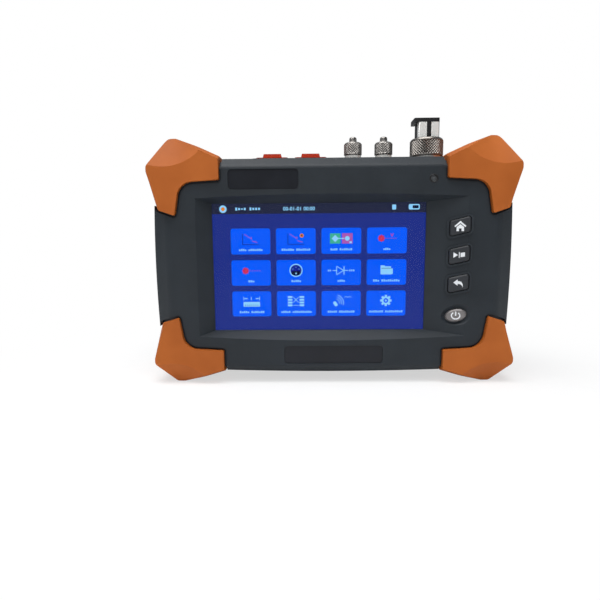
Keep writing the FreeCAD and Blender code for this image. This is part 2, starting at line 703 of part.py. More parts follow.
for across, up in STANDOFF_PLACES:
    boss = rod(across, up, STANDOFF_RADIUS, FRONT + WALL - 0.5, BRACKET_FRONT)
    front_shell = front_shell.fuse(boss)
    front_shell = front_shell.cut(rod(across, up, SMALL_SCREW_RADIUS + RUNNING,
                                      BRACKET_FRONT - 4.5, BRACKET_FRONT + 1))
HEAD_SEAT = BACK - SHELL_HEAD_SINK
SCREW_TIP = HEAD_SEAT - SHELL_SCREW_LENGTH
for across, up in SHELL_SCREWS:
    front_shell = front_shell.cut(rod(across, up, SHELL_SCREW_RADIUS + RUNNING,
                                      SCREW_TIP - 0.5, BACK))
keep("front_shell", front_shell.cut(seam))

# -------------------------------------------------------------- rear shell
STAND_PIN_Y = BACK - (STAND_SINK - STAND_THICKNESS) / 2 - STAND_THICKNESS / 2


def stand_outline(grow, low, high):
    """The fold-out stand in back view: a bail of two arms and a foot bar."""
    top = STAND_HINGE_UP + STAND_THICKNESS / 2 + grow
    foot = STAND_FOOT_UP - grow
    wide = STAND_HALF_WIDTH + grow
    inner = STAND_HALF_WIDTH - STAND_ARM - grow
    bar = STAND_FOOT_UP + STAND_ARM + grow
    outer_corner = STAND_CORNER + grow
    inner_corner = max(STAND_CORNER - STAND_ARM / 2 - grow, 1)
    corners = [(-wide, foot, outer_corner), (wide, foot, outer_corner), (wide, top, 0.3),
               (inner, top, 0.3), (inner, bar, inner_corner), (-inner, bar, inner_corner),
               (-inner, top, 0.3), (-wide, top, 0.3)]
    return slab(corners, to_front, low, high, V(0, 1, 0))


door_w, door_h = DOOR
opening_w = door_w - 2 * DOOR_LEDGE_SIDE
opening_h = door_h - 2 * DOOR_LEDGE
DOOR_SCREWS = [(sx * (door_w / 2 - DOOR_SCREW_INSET), DOOR_UP + sz * DOOR_SCREW_SPREAD / 2)
               for sx in (-1, 1) for sz in (-1, 1)]
TRAY_FLOOR = BACK - TRAY_DEPTH

rear_shell = outer.common(between(SPLIT, BACK + 5))
channel_back = stand_outline(STAND_GAP + STAND_WALL, BACK - STAND_SINK - STAND_WALL, BACK)
cheeks = None
for side in (-1, 1):
    cheek = Part.makeBox(STAND_CHEEK, STAND_SINK + STAND_WALL, 12,
                         V(STAND_HALF_WIDTH + STAND_GAP, BACK - STAND_SINK - STAND_WALL,
                           STAND_HINGE_UP - 6))
    if side < 0:
        cheek = cheek.mirror(V(0, 0, 0), V(1, 0, 0))
    cheeks = cheek if cheeks is None else cheeks.fuse(cheek)
inside_rear = cavity.common(between(SPLIT - 1, BACK)).cut(channel_back).cut(cheeks)
rear_shell = rear_shell.cut(inside_rear)
tray = front_plate(0, DOOR_UP, opening_w + 2 * TRAY_WALL, opening_h + 2 * TRAY_WALL,
                   2 + TRAY_WALL, TRAY_FLOOR - TRAY_WALL, BACK - WALL / 2)
rear_shell = rear_shell.fuse(tray)
for across, up in DOOR_SCREWS:
    rear_shell = rear_shell.fuse(rod(across, up, DOOR_BOSS_RADIUS, BACK - DOOR_BOSS_DEPTH,
                                     BACK - DOOR_THICKNESS))
for across, up in SHELL_SCREWS:
    rear_shell = rear_shell.fuse(rod(across, up, SHELL_BOSS_RADIUS, SPLIT, BACK - WALL / 2))
rear_shell = rear_shell.cut(front_plate(0, DOOR_UP, door_w, door_h, DOOR_CORNER,
                                        BACK - DOOR_THICKNESS, BACK + 1))
rear_shell = rear_shell.cut(front_plate(0, DOOR_UP, opening_w, opening_h, 2,
                                        TRAY_FLOOR, BACK + 1))
rear_shell = rear_shell.cut(stand_outline(STAND_GAP, BACK - STAND_SINK, BACK + 5))
finger = front_plate(0, STAND_FOOT_UP - STAND_GAP, FINGER_WIDTH, 2 * FINGER_HEIGHT, 4,
                     BACK - STAND_SINK + 1, BACK + 5)
finger = finger.common(Part.makeBox(REACH, REACH, FINGER_HEIGHT,
                                    V(-REACH / 2, 0, STAND_FOOT_UP - STAND_GAP - FINGER_HEIGHT)))
rear_shell = rear_shell.cut(finger)
pin_reach = STAND_HALF_WIDTH + STAND_PIN_LENGTH + 0.4
rear_shell = rear_shell.cut(Part.makeCylinder(STAND_PIN_RADIUS + RUNNING, 2 * pin_reach,
                                              V(-pin_reach, STAND_PIN_Y, STAND_HINGE_UP),
                                              V(1, 0, 0)))
for across, up in DOOR_SCREWS:
    rear_shell = rear_shell.cut(rod(across, up, SMALL_SCREW_RADIUS + RUNNING,
                                    BACK - DOOR_BOSS_DEPTH + 1, BACK))
for across, up in SHELL_SCREWS:
    rear_shell = rear_shell.cut(rod(across, up, SHELL_SCREW_RADIUS + RUNNING, SPLIT - 1, BACK))
    rear_shell = rear_shell.cut(rod(across, up, SHELL_HEAD_RADIUS + FIT, HEAD_SEAT, BACK + 1))

# openings in the connector deck
recess_y0 = PORT_Y - COVER_DEPTH / 2 + PLUG_BORDER
HINGE_Y = PORT_Y + COVER_DEPTH / 2 - COVER / 2
recess_y1 = HINGE_Y - COVER / 2 - PLUG_HINGE_ROOM
recess_mid, recess_len = (recess_y0 + recess_y1) / 2, recess_y1 - recess_y0
plug_width = COVER_WIDTH - 2 * PLUG_BORDER
JACK_TOP = DECK - PLUG_DEPTH - 0.3
BOARD_FACE = PORT_Y - LAN_JACK[1] / 2            # face of the port board
for across in (LAN_ACROSS, SUPPLY_ACROSS):
    bed = deck_block(across, plug_width + 2 * PLUG_GAP, recess_len + 2 * PLUG_GAP,
                     JACK_TOP, DECK + 1, 1.0, recess_mid)
    rear_shell = rear_shell.cut(bed)
jack_places = [(LAN_ACROSS, LAN_JACK), (DC_ACROSS, DC_JACK), (USB_ACROSS, USB_JACK)]
for across, (width, depth, height) in jack_places:
    rear_shell = rear_shell.cut(deck_block(
        across, width + 2 * FIT, depth + 2 * FIT, JACK_TOP - height, JACK_TOP + 0.1, 0.3,
        BOARD_FACE + depth / 2))
for across in (OTDR_ACROSS, LOCATOR_ACROSS):
    rear_shell = rear_shell.cut(post(across, PORT_Y, ADAPTER_BODY_RADIUS + RUNNING,
                                     DECK - 20, DECK + 1))
rear_shell = rear_shell.cut(post(METER_ACROSS, PORT_Y, METER_BODY_RADIUS + RUNNING,
                                 DECK - 20, DECK + 1))
rear_shell = rear_shell.cut(seal).cut(seam)
plates = (("port_plate", PORT_PLATE_LEFT, PORT_PLATE_RIGHT),
          ("adapter_plate", PORT_PLATE_RIGHT, ADAPTER_PLATE_RIGHT))
for name, left, right in plates:
    room = Part.makeBox(right - left, FRONT + PORT_PLATE_BACK - SPLIT, REACH,
                        V(left, SPLIT, HOUSING_TOP - WALL))
    keep(name, rear_shell.common(room))
    rear_shell = rear_shell.cut(room)
keep("rear_shell", rear_shell)

# ---------------------------------------------------------- keys and keypad
def key_cap():
    bevel = 0.5
    crown = rounded_wire(key_corners(-bevel), to_front)
    crown.translate(V(0, -KEY_PROUD, 0))
    foot = rounded_wire(key_corners(), to_front)
    foot.translate(V(0, bevel - KEY_PROUD, 0))
    top = Part.makeLoft([crown, foot], True, True)
    stem = key_plate(0, bevel - KEY_PROUD, KEY_BACK)
    return top.fuse(stem).fuse(key_plate(FLANGE_BORDER, KEY_BACK, FLANGE_BACK))


for name, up in zip(("key_home", "key_run_stop", "key_back"), KEY_ROWS):
    keep(name, on_panel(key_cap(), KEY_ACROSS, up))
crown = oval(POWER_WIDTH - 1.2, POWER_HEIGHT - 1.2, -0.1, 0.4, POWER_WIDTH, POWER_HEIGHT)
stem = oval(POWER_WIDTH, POWER_HEIGHT, 0.4, KEY_BACK)
skirt = oval(POWER_WIDTH + 2 * FLANGE_BORDER, POWER_HEIGHT + 2 * FLANGE_BORDER,
             KEY_BACK, FLANGE_BACK)
keep("key_power", on_panel(crown.fuse(stem).fuse(skirt), POWER_ACROSS, POWER_UP))

keep("keypad_mat", on_panel(front_plate(0, 0, KEY_BOARD[0], KEY_MAT_HEIGHT, 1.5,
                                        MAT_FRONT, MAT_BACK), KEY_ACROSS, KEY_BOARD_UP))
key_board = on_panel(front_plate(0, 0, KEY_BOARD[0], KEY_BOARD[1], 1.5,
                                 KEY_BOARD_FRONT, KEY_BOARD_BACK), KEY_ACROSS, KEY_BOARD_UP)
screws = []
for up in KEY_BOARD_HOLES:
    key_board = key_board.cut(on_panel(rod(0, 0, SMALL_SCREW_RADIUS + FIT, KEY_BOARD_FRONT - 1,
                                           KEY_BOARD_BACK + 1), KEY_ACROSS, up))
    shank = rod(0, 0, SMALL_SCREW_RADIUS, RECESS_WALL + 1, KEY_BOARD_BACK)
    head = rod(0, 0, SMALL_HEAD_RADIUS, KEY_BOARD_BACK, KEY_BOARD_BACK + SMALL_HEAD)
    screws.append(on_panel(shank.fuse(head), KEY_ACROSS, up))
keep("key_board", key_board)
keep("key_board_screws", Part.makeCompound(screws))
switches = []
for across, up in [(KEY_ACROSS, row) for row in KEY_ROWS] + [(POWER_ACROSS, POWER_UP)]:
    switches.append(on_panel(front_plate(0, 0, 4.5, 4.5, 0.5, MAT_BACK, KEY_BOARD_FRONT),
                             across, up))
keep("key_switches", Part.makeCompound(switches))

# ------------------------------------------------------------ display stack
glass_w, glass_h = SCREEN_WIDTH + 2 * GLASS_BORDER, SCREEN_HEIGHT + 2 * GLASS_BORDER
gasket = front_plate(SCREEN_ACROSS, SCREEN_UP, glass_w, glass_h, 1.5,
                     GLASS_FRONT - GASKET, GLASS_FRONT)
gasket = gasket.cut(front_plate(SCREEN_ACROSS, SCREEN_UP, SCREEN_WIDTH + 1, SCREEN_HEIGHT + 1,
                                0.5, GLASS_FRONT - 1, GLASS_FRONT + 1))
keep("display_gasket", gasket)
keep("touch_glass", front_plate(SCREEN_ACROSS, SCREEN_UP, glass_w, glass_h, 1.5,
                                GLASS_FRONT, PANEL_FRONT))
keep("display_panel", front_plate(SCREEN_ACROSS, SCREEN_UP, SCREEN_WIDTH + 2 * PANEL_BORDER,
                                  SCREEN_HEIGHT + 2 * PANEL_BORDER, 0.8,
                                  PANEL_FRONT, BRACKET_FRONT))
left = min(place[0] for place in STANDOFF_PLACES) - STANDOFF_RADIUS
right = SCREEN_ACROSS + SCREEN_WIDTH / 2
low = min(place[1] for place in STANDOFF_PLACES) - STANDOFF_RADIUS + 0.4
high = max(place[1] for place in STANDOFF_PLACES) + STANDOFF_RADIUS - 0.4
bracket_back = BRACKET_FRONT + BRACKET
bracket = front_plate((left + right) / 2, (low + high) / 2, right - left, high - low, 2,
                      BRACKET_FRONT, bracket_back)
bracket = bracket.cut(front_plate((left + right) / 2, (low + high) / 2,
                                  right - left - 2 * BRACKET_BAND,
                                  high - low - 4 * BRACKET_BAND, 4,
                                  BRACKET_FRONT - 1, bracket_back + 1))
standoffs, board_screws = [], []
main_board = front_plate(0, MAIN_BOARD_UP, MAIN_BOARD[0], MAIN_BOARD[1], 3, BOARD_FRONT, BOARD_BACK)
for across, up in STANDOFF_PLACES:
    hole = rod(across, up, SMALL_SCREW_RADIUS + FIT, BRACKET_FRONT - 1, BOARD_BACK + 1)
    bracket = bracket.cut(hole)
    main_board = main_board.cut(hole)
    body = rod(across, up, STANDOFF_RADIUS, bracket_back, BOARD_FRONT)
    stud = rod(across, up, SMALL_SCREW_RADIUS, BRACKET_FRONT - 4, BOARD_FRONT - 2)
    socket = rod(across, up, SMALL_SCREW_RADIUS, BOARD_FRONT - 2, BOARD_FRONT)
    standoffs.append(body.cut(socket).fuse(stud))
    shank = rod(across, up, SMALL_SCREW_RADIUS - RUNNING, BOARD_FRONT - 1.8, BOARD_BACK)
    head = rod(across, up, SMALL_HEAD_RADIUS, BOARD_BACK, BOARD_BACK + SMALL_HEAD)
    board_screws.append(shank.fuse(head))
keep("display_bracket", bracket)
keep("board_standoffs", Part.makeCompound(standoffs))
keep("board_screws", Part.makeCompound(board_screws))
keep("main_board", main_board)
keep("processor_shield", front_plate(-30, 62, 34, 30, 1, BOARD_BACK, BOARD_BACK + 3))
keep("supply_shield", front_plate(36, 44, 26, 22, 1, BOARD_BACK, BOARD_BACK + 3))

# ---------------------------------------------------------------- front trim
for name, (across, up, width, height) in (("upper_inlay", UPPER_INLAY),
                                          ("lower_inlay", LOWER_INLAY)):
    keep(name, front_plate(across, up, width - 2 * FIT, height - 2 * FIT, INLAY_CORNER - FIT,
                           FRONT + INLAY_SINK - INLAY, FRONT + INLAY_SINK))
keep("lamp_lens", rod(LAMP_ACROSS, LAMP_UP, LAMP_LENS_RADIUS, FRONT + LAMP_SINK - 0.3,
                      FRONT + WALL))

# ------------------------------------------------------------------- sockets
lan_w, lan_d, lan_h = LAN_JACK
lan = deck_block(LAN_ACROSS, lan_w, lan_d, JACK_TOP - lan_h, JACK_TOP, 0.5)
lan = lan.cut(deck_block(LAN_ACROSS, LAN_SOCKET[0], LAN_SOCKET[1],
                         JACK_TOP - LAN_SOCKET[2], JACK_TOP + 1, 0.3))
lan = lan.cut(deck_block(LAN_ACROSS, 6.2, 1.6, JACK_TOP - 9, JACK_TOP + 1, 0.2,
                         PORT_Y + LAN_SOCKET[1] / 2 + 0.7))
keep("lan_jack", lan)
contacts = []
for i in range(8):
    across = LAN_ACROSS + (i - 3.5) * 1.02
    contacts.append(deck_block(across, 0.45, 0.5, JACK_TOP - LAN_SOCKET[2],
                               JACK_TOP - 3, 0.1, PORT_Y - LAN_SOCKET[1] / 2 + 0.25))
keep("lan_contacts", Part.makeCompound(contacts))
dc_w, dc_d, dc_h = DC_JACK
dc_y = BOARD_FACE + dc_d / 2
dc_floor = JACK_TOP - DC_BORE_DEPTH
dc = deck_block(DC_ACROSS, dc_w, dc_d, JACK_TOP - dc_h, JACK_TOP, 0.5, dc_y)
dc = dc.cut(post(DC_ACROSS, dc_y, DC_BORE_RADIUS, dc_floor, JACK_TOP + 1))
dc = dc.fuse(post(DC_ACROSS, dc_y, DC_PIN_RADIUS, dc_floor - 0.5, JACK_TOP - 0.8))
keep("charging_jack", dc)
usb_w, usb_d, usb_h = USB_JACK
usb_y = BOARD_FACE + usb_d / 2
usb = deck_block(USB_ACROSS, usb_w, usb_d, JACK_TOP - usb_h, JACK_TOP, 0.6, usb_y)
usb = usb.cut(deck_block(USB_ACROSS, USB_SLOT[0], USB_SLOT[1], JACK_TOP - USB_SLOT[2],
                         JACK_TOP + 1, 0.4, usb_y))
usb = usb.fuse(deck_block(USB_ACROSS, USB_SLOT[0] - 2.6, 0.5, JACK_TOP - usb_h + 0.4,
                          JACK_TOP - 0.8, 0.1, usb_y))
keep("data_jack", usb)
board_left = LAN_ACROSS - lan_w / 2 - 2
port_board_top = HOUSING_TOP - WALL - 0.4
keep("port_board", front_plate(board_left + PORT_BOARD_WIDTH / 2,
                               port_board_top - PORT_BOARD_DROP / 2, PORT_BOARD_WIDTH,
                               PORT_BOARD_DROP, 1, BOARD_FACE - BOARD, BOARD_FACE))
keep("board_link", front_plate(board_left + PORT_BOARD_WIDTH / 2,
                               port_board_top - PORT_BOARD_DROP + 3, 20, 4, 0.5,
                               BOARD_BACK, BOARD_FACE - BOARD))

# ------------------------------------------------------------- port covers
def port_cover(across):
    """A rubber flap with a plug below, a grip tab above and a round hinge edge."""
    low, high = DECK + COVER_LIFT, DECK + COVER_LIFT + COVER
    y0 = PORT_Y - COVER_DEPTH / 2
    hinge = Part.makeCylinder(COVER / 2, COVER_WIDTH, V(across - COVER_WIDTH / 2, HINGE_Y,
                                                        low + COVER / 2), V(1, 0, 0))
    length = HINGE_Y - y0
    corners = [(across - COVER_WIDTH / 2, y0, COVER_CORNER),
               (across + COVER_WIDTH / 2, y0, COVER_CORNER),
               (across + COVER_WIDTH / 2, y0 + length, 0.2),
               (across - COVER_WIDTH / 2, y0 + length, 0.2)]
    flap = slab(corners, to_plan, low, high, V(0, 0, 1))
    plug = deck_block(across, plug_width, recess_len, low - PLUG_DEPTH, low, 0.8, recess_mid)
    y = y0 + TAB_BACK + TAB_DEPTH / 2
    foot = rounded_wire(rectangle(across, y, TAB_WIDTH, TAB_DEPTH, 0.8), to_plan)
    crown = rounded_wire(rectangle(across, y, TAB_WIDTH, TAB_DEPTH, 0.8), to_plan, TAB_LEAN)
    foot.translate(V(0, 0, high - 0.3))
    crown.translate(V(0, 0, high + TAB_HEIGHT))
    tab = Part.makeLoft([foot, crown], True, True)
    return flap.fuse(hinge).fuse(plug).fuse(tab)


anchors = []
for name, across in (("lan_cover", LAN_ACROSS), ("supply_cover", SUPPLY_ACROSS)):
    keep(name, port_cover(across))
    y = HINGE_Y + COVER / 2 + HINGE_GAP + ANCHOR_DEPTH / 2
    anchors.append(deck_block(across, COVER_WIDTH, ANCHOR_DEPTH, DECK, DECK + ANCHOR_HEIGHT,
                              0.8, y))
keep("cover_anchors", Part.makeCompound(anchors))

# --------------------------------------------------------- fibre connectors
SLEEVE_RADIUS = FERRULE_RADIUS + SLEEVE
OPTICS_TOP = OPTICS_UP + OPTICS[1] / 2


def fibre_adapter(across):
    """A bulkhead fibre adapter: collar, threaded barrel and inner tube."""
    pocket = SLEEVE_RADIUS + RUNNING
    stub = PIGTAIL_RADIUS + RUNNING
    profile = [(stub, -ADAPTER_BELOW), (ADAPTER_BODY_RADIUS, -ADAPTER_BELOW),
               (ADAPTER_BODY_RADIUS, 0), (COLLAR_RADIUS, 0), (COLLAR_RADIUS, COLLAR),
               (THREAD_RADIUS, COLLAR), (THREAD_RADIUS, THREAD_TOP),
               (MOUTH_RADIUS, THREAD_TOP), (MOUTH_RADIUS, MOUTH_FLOOR),
               (TUBE_RADIUS, MOUTH_FLOOR), (TUBE_RADIUS, TUBE_TOP), (pocket, TUBE_TOP),
               (pocket, -SLEEVE_BELOW), (stub, -SLEEVE_BELOW)]
    body = turned([(r, DECK + z) for r, z in profile], across, PORT_Y)
    slot = Part.makeBox(KEY_SLOT_WIDTH, 2 * THREAD_RADIUS, THREAD_TOP,
                        V(across - KEY_SLOT_WIDTH / 2, PORT_Y - 2 * THREAD_RADIUS,
                          DECK + MOUTH_FLOOR + KEY_SLOT_RISE))
    inside_mouth = post(across, PORT_Y, MOUTH_RADIUS - FIT, DECK, DECK + 2 * THREAD_TOP)
    return body.cut(slot.cut(inside_mouth))


def dust_cap(across):
    """A knurled screw cap with a cross-drilled knob for its tether."""
    bore = THREAD_RADIUS + CAP_SLACK
    roof = CAP_TOP - CAP_ROOF
    step = 0.5
    profile = [(0, roof), (bore, roof), (bore, CAP_BOTTOM), (CAP_NECK_RADIUS, CAP_BOTTOM),
               (CAP_NECK_RADIUS, KNURL_BOTTOM), (CAP_RADIUS, KNURL_BOTTOM),
               (CAP_RADIUS, KNURL_TOP), (CAP_RADIUS - step, KNURL_TOP + step),
               (CAP_RADIUS - 2 * step, CAP_TOP), (KNOB_RADIUS, CAP_TOP),
               (KNOB_RADIUS, CAP_TOP + KNOB_HEIGHT - 0.4),
               (KNOB_RADIUS - 0.4, CAP_TOP + KNOB_HEIGHT), (0, CAP_TOP + KNOB_HEIGHT)]
    body = turned([(r, DECK + z) for r, z in profile], across, PORT_Y)
    hole = Part.makeCylinder(KNOB_HOLE_RADIUS, 20, V(across, PORT_Y - 10,
                             DECK + CAP_TOP + KNOB_HEIGHT / 2), V(0, 1, 0))
    return body.cut(hole)


def hex_nut(across):
    low = HOUSING_TOP - WALL - NUT
    corner = NUT_FLATS / math.sqrt(3)
    points = [V(across + corner * math.cos(math.radians(60 * i)),
                PORT_Y + corner * math.sin(math.radians(60 * i)), low) for i in range(7)]
    body = Part.Face(Part.makePolygon(points)).extrude(V(0, 0, NUT))
    return body.cut(post(across, PORT_Y, ADAPTER_BODY_RADIUS + RUNNING, low - 1, low + NUT + 1))


sleeves, nuts, pigtails = [], [], []
for port, across in (("test", OTDR_ACROSS), ("locator", LOCATOR_ACROSS)):
    keep(port + "_adapter", fibre_adapter(across))
    keep(port + "_cap", dust_cap(across))
    bottom, top = DECK - SLEEVE_BELOW, DECK + TUBE_TOP
    sleeve = post(across, PORT_Y, SLEEVE_RADIUS, bottom, top)
    sleeves.append(sleeve.cut(post(across, PORT_Y, FERRULE_RADIUS, bottom - 1, top + 1)))
    nuts.append(hex_nut(across))
    pigtails.append(post(across, PORT_Y, PIGTAIL_RADIUS, OPTICS_TOP, bottom))
keep("alignment_sleeves", Part.makeCompound(sleeves))
keep("adapter_nuts", Part.makeCompound(nuts))
keep("pigtail_ferrules", Part.makeCompound(pigtails))

# -------------------------------------------------------- power meter port
flange_top = RING_TOP - RING_LIP - RUNNING
profile = [(DETECTOR_WINDOW_RADIUS, -METER_BELOW), (METER_BODY_RADIUS, -METER_BELOW),
           (METER_BODY_RADIUS, 0), (METER_COLLAR_RADIUS, 0),
           (METER_COLLAR_RADIUS, METER_COLLAR), (METER_NOSE_RADIUS, METER_COLLAR),
           (METER_NOSE_RADIUS, METER_NOSE_HEIGHT), (METER_BORE_RADIUS, METER_NOSE_HEIGHT),
           (METER_BORE_RADIUS, -METER_BORE_BELOW), (DETECTOR_WINDOW_RADIUS, -METER_BORE_BELOW)]
keep("meter_port", turned([(r, DECK + z) for r, z in profile], METER_ACROSS, PORT_Y))
keep("detector", post(METER_ACROSS, PORT_Y, DETECTOR_RADIUS, OPTICS_TOP, DECK - METER_BELOW))
bore = METER_NOSE_RADIUS + RING_SLACK
chamfer = 0.6
profile = [(bore, RING_BOTTOM), (RING_RADIUS - chamfer, RING_BOTTOM),
           (RING_RADIUS, RING_BOTTOM + chamfer), (RING_RADIUS, RING_TOP - 2 * chamfer),
           (RING_RADIUS - 1.5 * chamfer, RING_TOP), (RING_LIP_RADIUS, RING_TOP),
           (RING_LIP_RADIUS, RING_TOP - RING_LIP), (bore, RING_TOP - RING_LIP)]
keep("coupling_ring", turned([(r, DECK + z) for r, z in profile], METER_ACROSS, PORT_Y))

head_floor = DECK + flange_top + HEAD_FLOOR
head_top = DECK + HEAD_TOP
head = post(METER_ACROSS, PORT_Y, METER_NOSE_RADIUS + RING_SLACK - HEAD_FLANGE_SLACK,
            DECK + METER_NOSE_HEIGHT, DECK + flange_top)
head = head.fuse(deck_block(METER_ACROSS, HEAD_WIDTH, HEAD_DEPTH, DECK + flange_top - 0.5,
                            head_top, HEAD_CORNER))
cavity_w, cavity_d = HEAD_WIDTH - 2 * HEAD_WALL, HEAD_DEPTH - 2 * HEAD_WALL
head = head.cut(deck_block(METER_ACROSS, cavity_w, cavity_d, head_floor, head_top + 1, 0.4))
slot_y = PORT_Y - HEAD_DEPTH / 2
head = head.cut(deck_block(METER_ACROSS, KEYWAY, 2 * HEAD_WALL + 0.2, head_floor + 1,
                           head_top + 1, 0.1, slot_y))
head = head.cut(post(METER_ACROSS, PORT_Y, FERRULE_RADIUS, DECK, head_top))
keep("meter_head", head)

insert = deck_block(METER_ACROSS, cavity_w - 2 * DUST_PLUG_SLACK, cavity_d - 2 * DUST_PLUG_SLACK,
                    head_top - DUST_PLUG_INSERT, head_top + DUST_LIFT + 0.5, 0.4)
rib_depth = HEAD_WALL + DUST_PLUG_SLACK
rib = deck_block(METER_ACROSS, KEYWAY - 2 * DUST_PLUG_SLACK, rib_depth, head_floor + 1.3,
                 head_top + DUST_LIFT + 0.5, 0.1, slot_y + rib_depth / 2)
plate_left = METER_ACROSS - HEAD_WIDTH / 2 - DUST_LUG
plate_right = METER_ACROSS + HEAD_WIDTH / 2 + DUST_OVERHANG
plate_mid, plate_w = (plate_left + plate_right) / 2, plate_right - plate_left
plate = deck_block(plate_mid, plate_w, HEAD_DEPTH + 2 * DUST_OVERHANG, head_top + DUST_LIFT,
                   head_top + DUST_PLATE, 0.8)
lug_w = DUST_LUG - 0.15
lug = deck_block(plate_left + lug_w / 2, lug_w, HEAD_DEPTH + 2 * DUST_OVERHANG,
                 head_top - DUST_LUG_DROP, head_top + DUST_PLATE - 0.5, 0.5)
keep("meter_dust_plug", plate.fuse(insert).fuse(rib).fuse(lug))

optics_w, optics_h, optics_d = OPTICS
optics_front = BOARD_BACK + OPTICS_FOOT
optics = front_plate(OPTICS_ACROSS, OPTICS_UP, optics_w, optics_h, 2, optics_front,
                     optics_front + optics_d)
for sx in (-1, 1):
    for sz in (-1, 1):
        optics = optics.fuse(rod(OPTICS_ACROSS + sx * (optics_w / 2 - 4),
                                 OPTICS_UP + sz * (optics_h / 2 - 4), 2.5,
                                 BOARD_BACK, optics_front + 1))
keep("optical_engine", optics)

# ---------------------------------------------------- back: door and battery
door = front_plate(0, DOOR_UP, door_w - 2 * FIT, door_h - 2 * FIT, DOOR_CORNER - FIT,
                   BACK - DOOR_THICKNESS, BACK)
for i in range(GRIP_COUNT):
    up = DOOR_UP + (i - (GRIP_COUNT - 1) / 2) * GRIP_PITCH
    door = door.cut(front_plate(0, up, GRIP_LENGTH, GRIP_WIDTH, GRIP_WIDTH / 2 - 0.1,
                                BACK - GRIP_DEPTH, BACK + 1))
door_screws = []
for across, up in DOOR_SCREWS:
    door = door.cut(rod(across, up, SMALL_SCREW_RADIUS + FIT, BACK - 5, BACK + 1))
    door = door.cut(rod(across, up, SMALL_HEAD_RADIUS + FIT, BACK - SMALL_HEAD, BACK + 1))
    shank = rod(across, up, SMALL_SCREW_RADIUS, BACK - DOOR_BOSS_DEPTH + 1.5,
                BACK - SMALL_HEAD)
    head = rod(across, up, SMALL_HEAD_RADIUS, BACK - SMALL_HEAD, BACK - 0.1)
    door_screws.append(shank.fuse(head))
keep("battery_door", door)
keep("battery_door_screws", Part.makeCompound(door_screws))
battery_w, battery_h, battery_d = BATTERY
keep("battery_pack", front_plate(0, DOOR_UP, battery_w, battery_h, 2, TRAY_FLOOR,
                                 TRAY_FLOOR + battery_d))
shell_screws = []
for across, up in SHELL_SCREWS:
    shank = rod(across, up, SHELL_SCREW_RADIUS, SCREW_TIP, HEAD_SEAT)
    head = rod(across, up, SHELL_HEAD_RADIUS, HEAD_SEAT, HEAD_SEAT + SHELL_HEAD)
    shell_screws.append(shank.fuse(head))
keep("shell_screws", Part.makeCompound(shell_screws))

# ----------------------------------------------------------------- the stand
stand_low = STAND_PIN_Y - STAND_THICKNESS / 2
stand_high = STAND_PIN_Y + STAND_THICKNESS / 2
stand = stand_outline(0, stand_low, stand_high)
stand = stand.common(Part.makeBox(REACH, REACH, STAND_HINGE_UP, V(-REACH / 2, 0, 0)))
for side in (-1, 1):
    mid_arm = side * (STAND_HALF_WIDTH - STAND_ARM / 2)
    knuckle = Part.makeCylinder(STAND_THICKNESS / 2, STAND_ARM,
                                V(mid_arm - STAND_ARM / 2, STAND_PIN_Y, STAND_HINGE_UP),
                                V(1, 0, 0))
    outer_face = STAND_HALF_WIDTH + STAND_PIN_LENGTH
    start = side * outer_face if side < 0 else STAND_HALF_WIDTH - 1
    pin = Part.makeCylinder(STAND_PIN_RADIUS, STAND_PIN_LENGTH + 1,
                            V(start, STAND_PIN_Y, STAND_HINGE_UP), V(1, 0, 0))
    stand = stand.fuse(knuckle).fuse(pin)
pad_strip = Part.makeBox(STAND_PAD_WIDTH, STAND_THICKNESS, STAND_PAD,
                         V(-STAND_PAD_WIDTH / 2, stand_low, STAND_FOOT_UP))
keep("stand", stand.cut(pad_strip))
keep("stand_pad", pad_strip)

os.makedirs("parts", exist_ok=True)
for name, shape in pieces.items():
    shape.exportStep("parts/" + name + ".step")
    print(name, len(shape.Solids), shape.isValid(), round(shape.Volume, 1))
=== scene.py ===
# %% [markdown]
# # A handheld fibre tester
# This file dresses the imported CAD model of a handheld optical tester: a charcoal case with orange
# rubber corners, a lit touch screen, four keys, two rubber port flaps and three metal fibre ports.
# The CAD model is the fixed frame. Everything here is in metres and shares its axes: +X runs to the
# right along the front, +Y goes back, +Z is up.

# %% Load the frame
import math

import bmesh
import bpy
from mathutils import Matrix, Vector


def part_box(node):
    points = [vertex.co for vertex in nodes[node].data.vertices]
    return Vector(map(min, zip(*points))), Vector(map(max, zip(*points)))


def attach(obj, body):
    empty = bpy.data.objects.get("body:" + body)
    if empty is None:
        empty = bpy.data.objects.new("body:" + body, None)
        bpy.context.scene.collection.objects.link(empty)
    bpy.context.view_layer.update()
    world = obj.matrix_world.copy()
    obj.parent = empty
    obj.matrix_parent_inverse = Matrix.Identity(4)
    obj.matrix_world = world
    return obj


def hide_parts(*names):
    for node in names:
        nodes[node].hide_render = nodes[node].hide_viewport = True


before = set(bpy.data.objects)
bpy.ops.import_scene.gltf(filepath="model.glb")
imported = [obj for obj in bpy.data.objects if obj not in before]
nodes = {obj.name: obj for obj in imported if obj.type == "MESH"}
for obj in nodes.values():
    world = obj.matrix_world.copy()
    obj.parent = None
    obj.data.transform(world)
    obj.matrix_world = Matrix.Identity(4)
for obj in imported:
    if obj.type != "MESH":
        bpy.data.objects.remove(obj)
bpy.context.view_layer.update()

MM = 0.001
scene = bpy.context.scene
scene.view_settings.view_transform = "Standard"

# %% [markdown]
# ## The camera
# The instrument stands in front of the lens, seen nearly square on and a little from above. A camera
# could be aimed with a Track To constraint or with three turns typed in. A camera's own axes are X
# right, Y up and Z backwards, so here its matrix is built from three directions worked out from the
# yaw, the pitch and a slight roll. That leaves no doubt about the order of the turns.

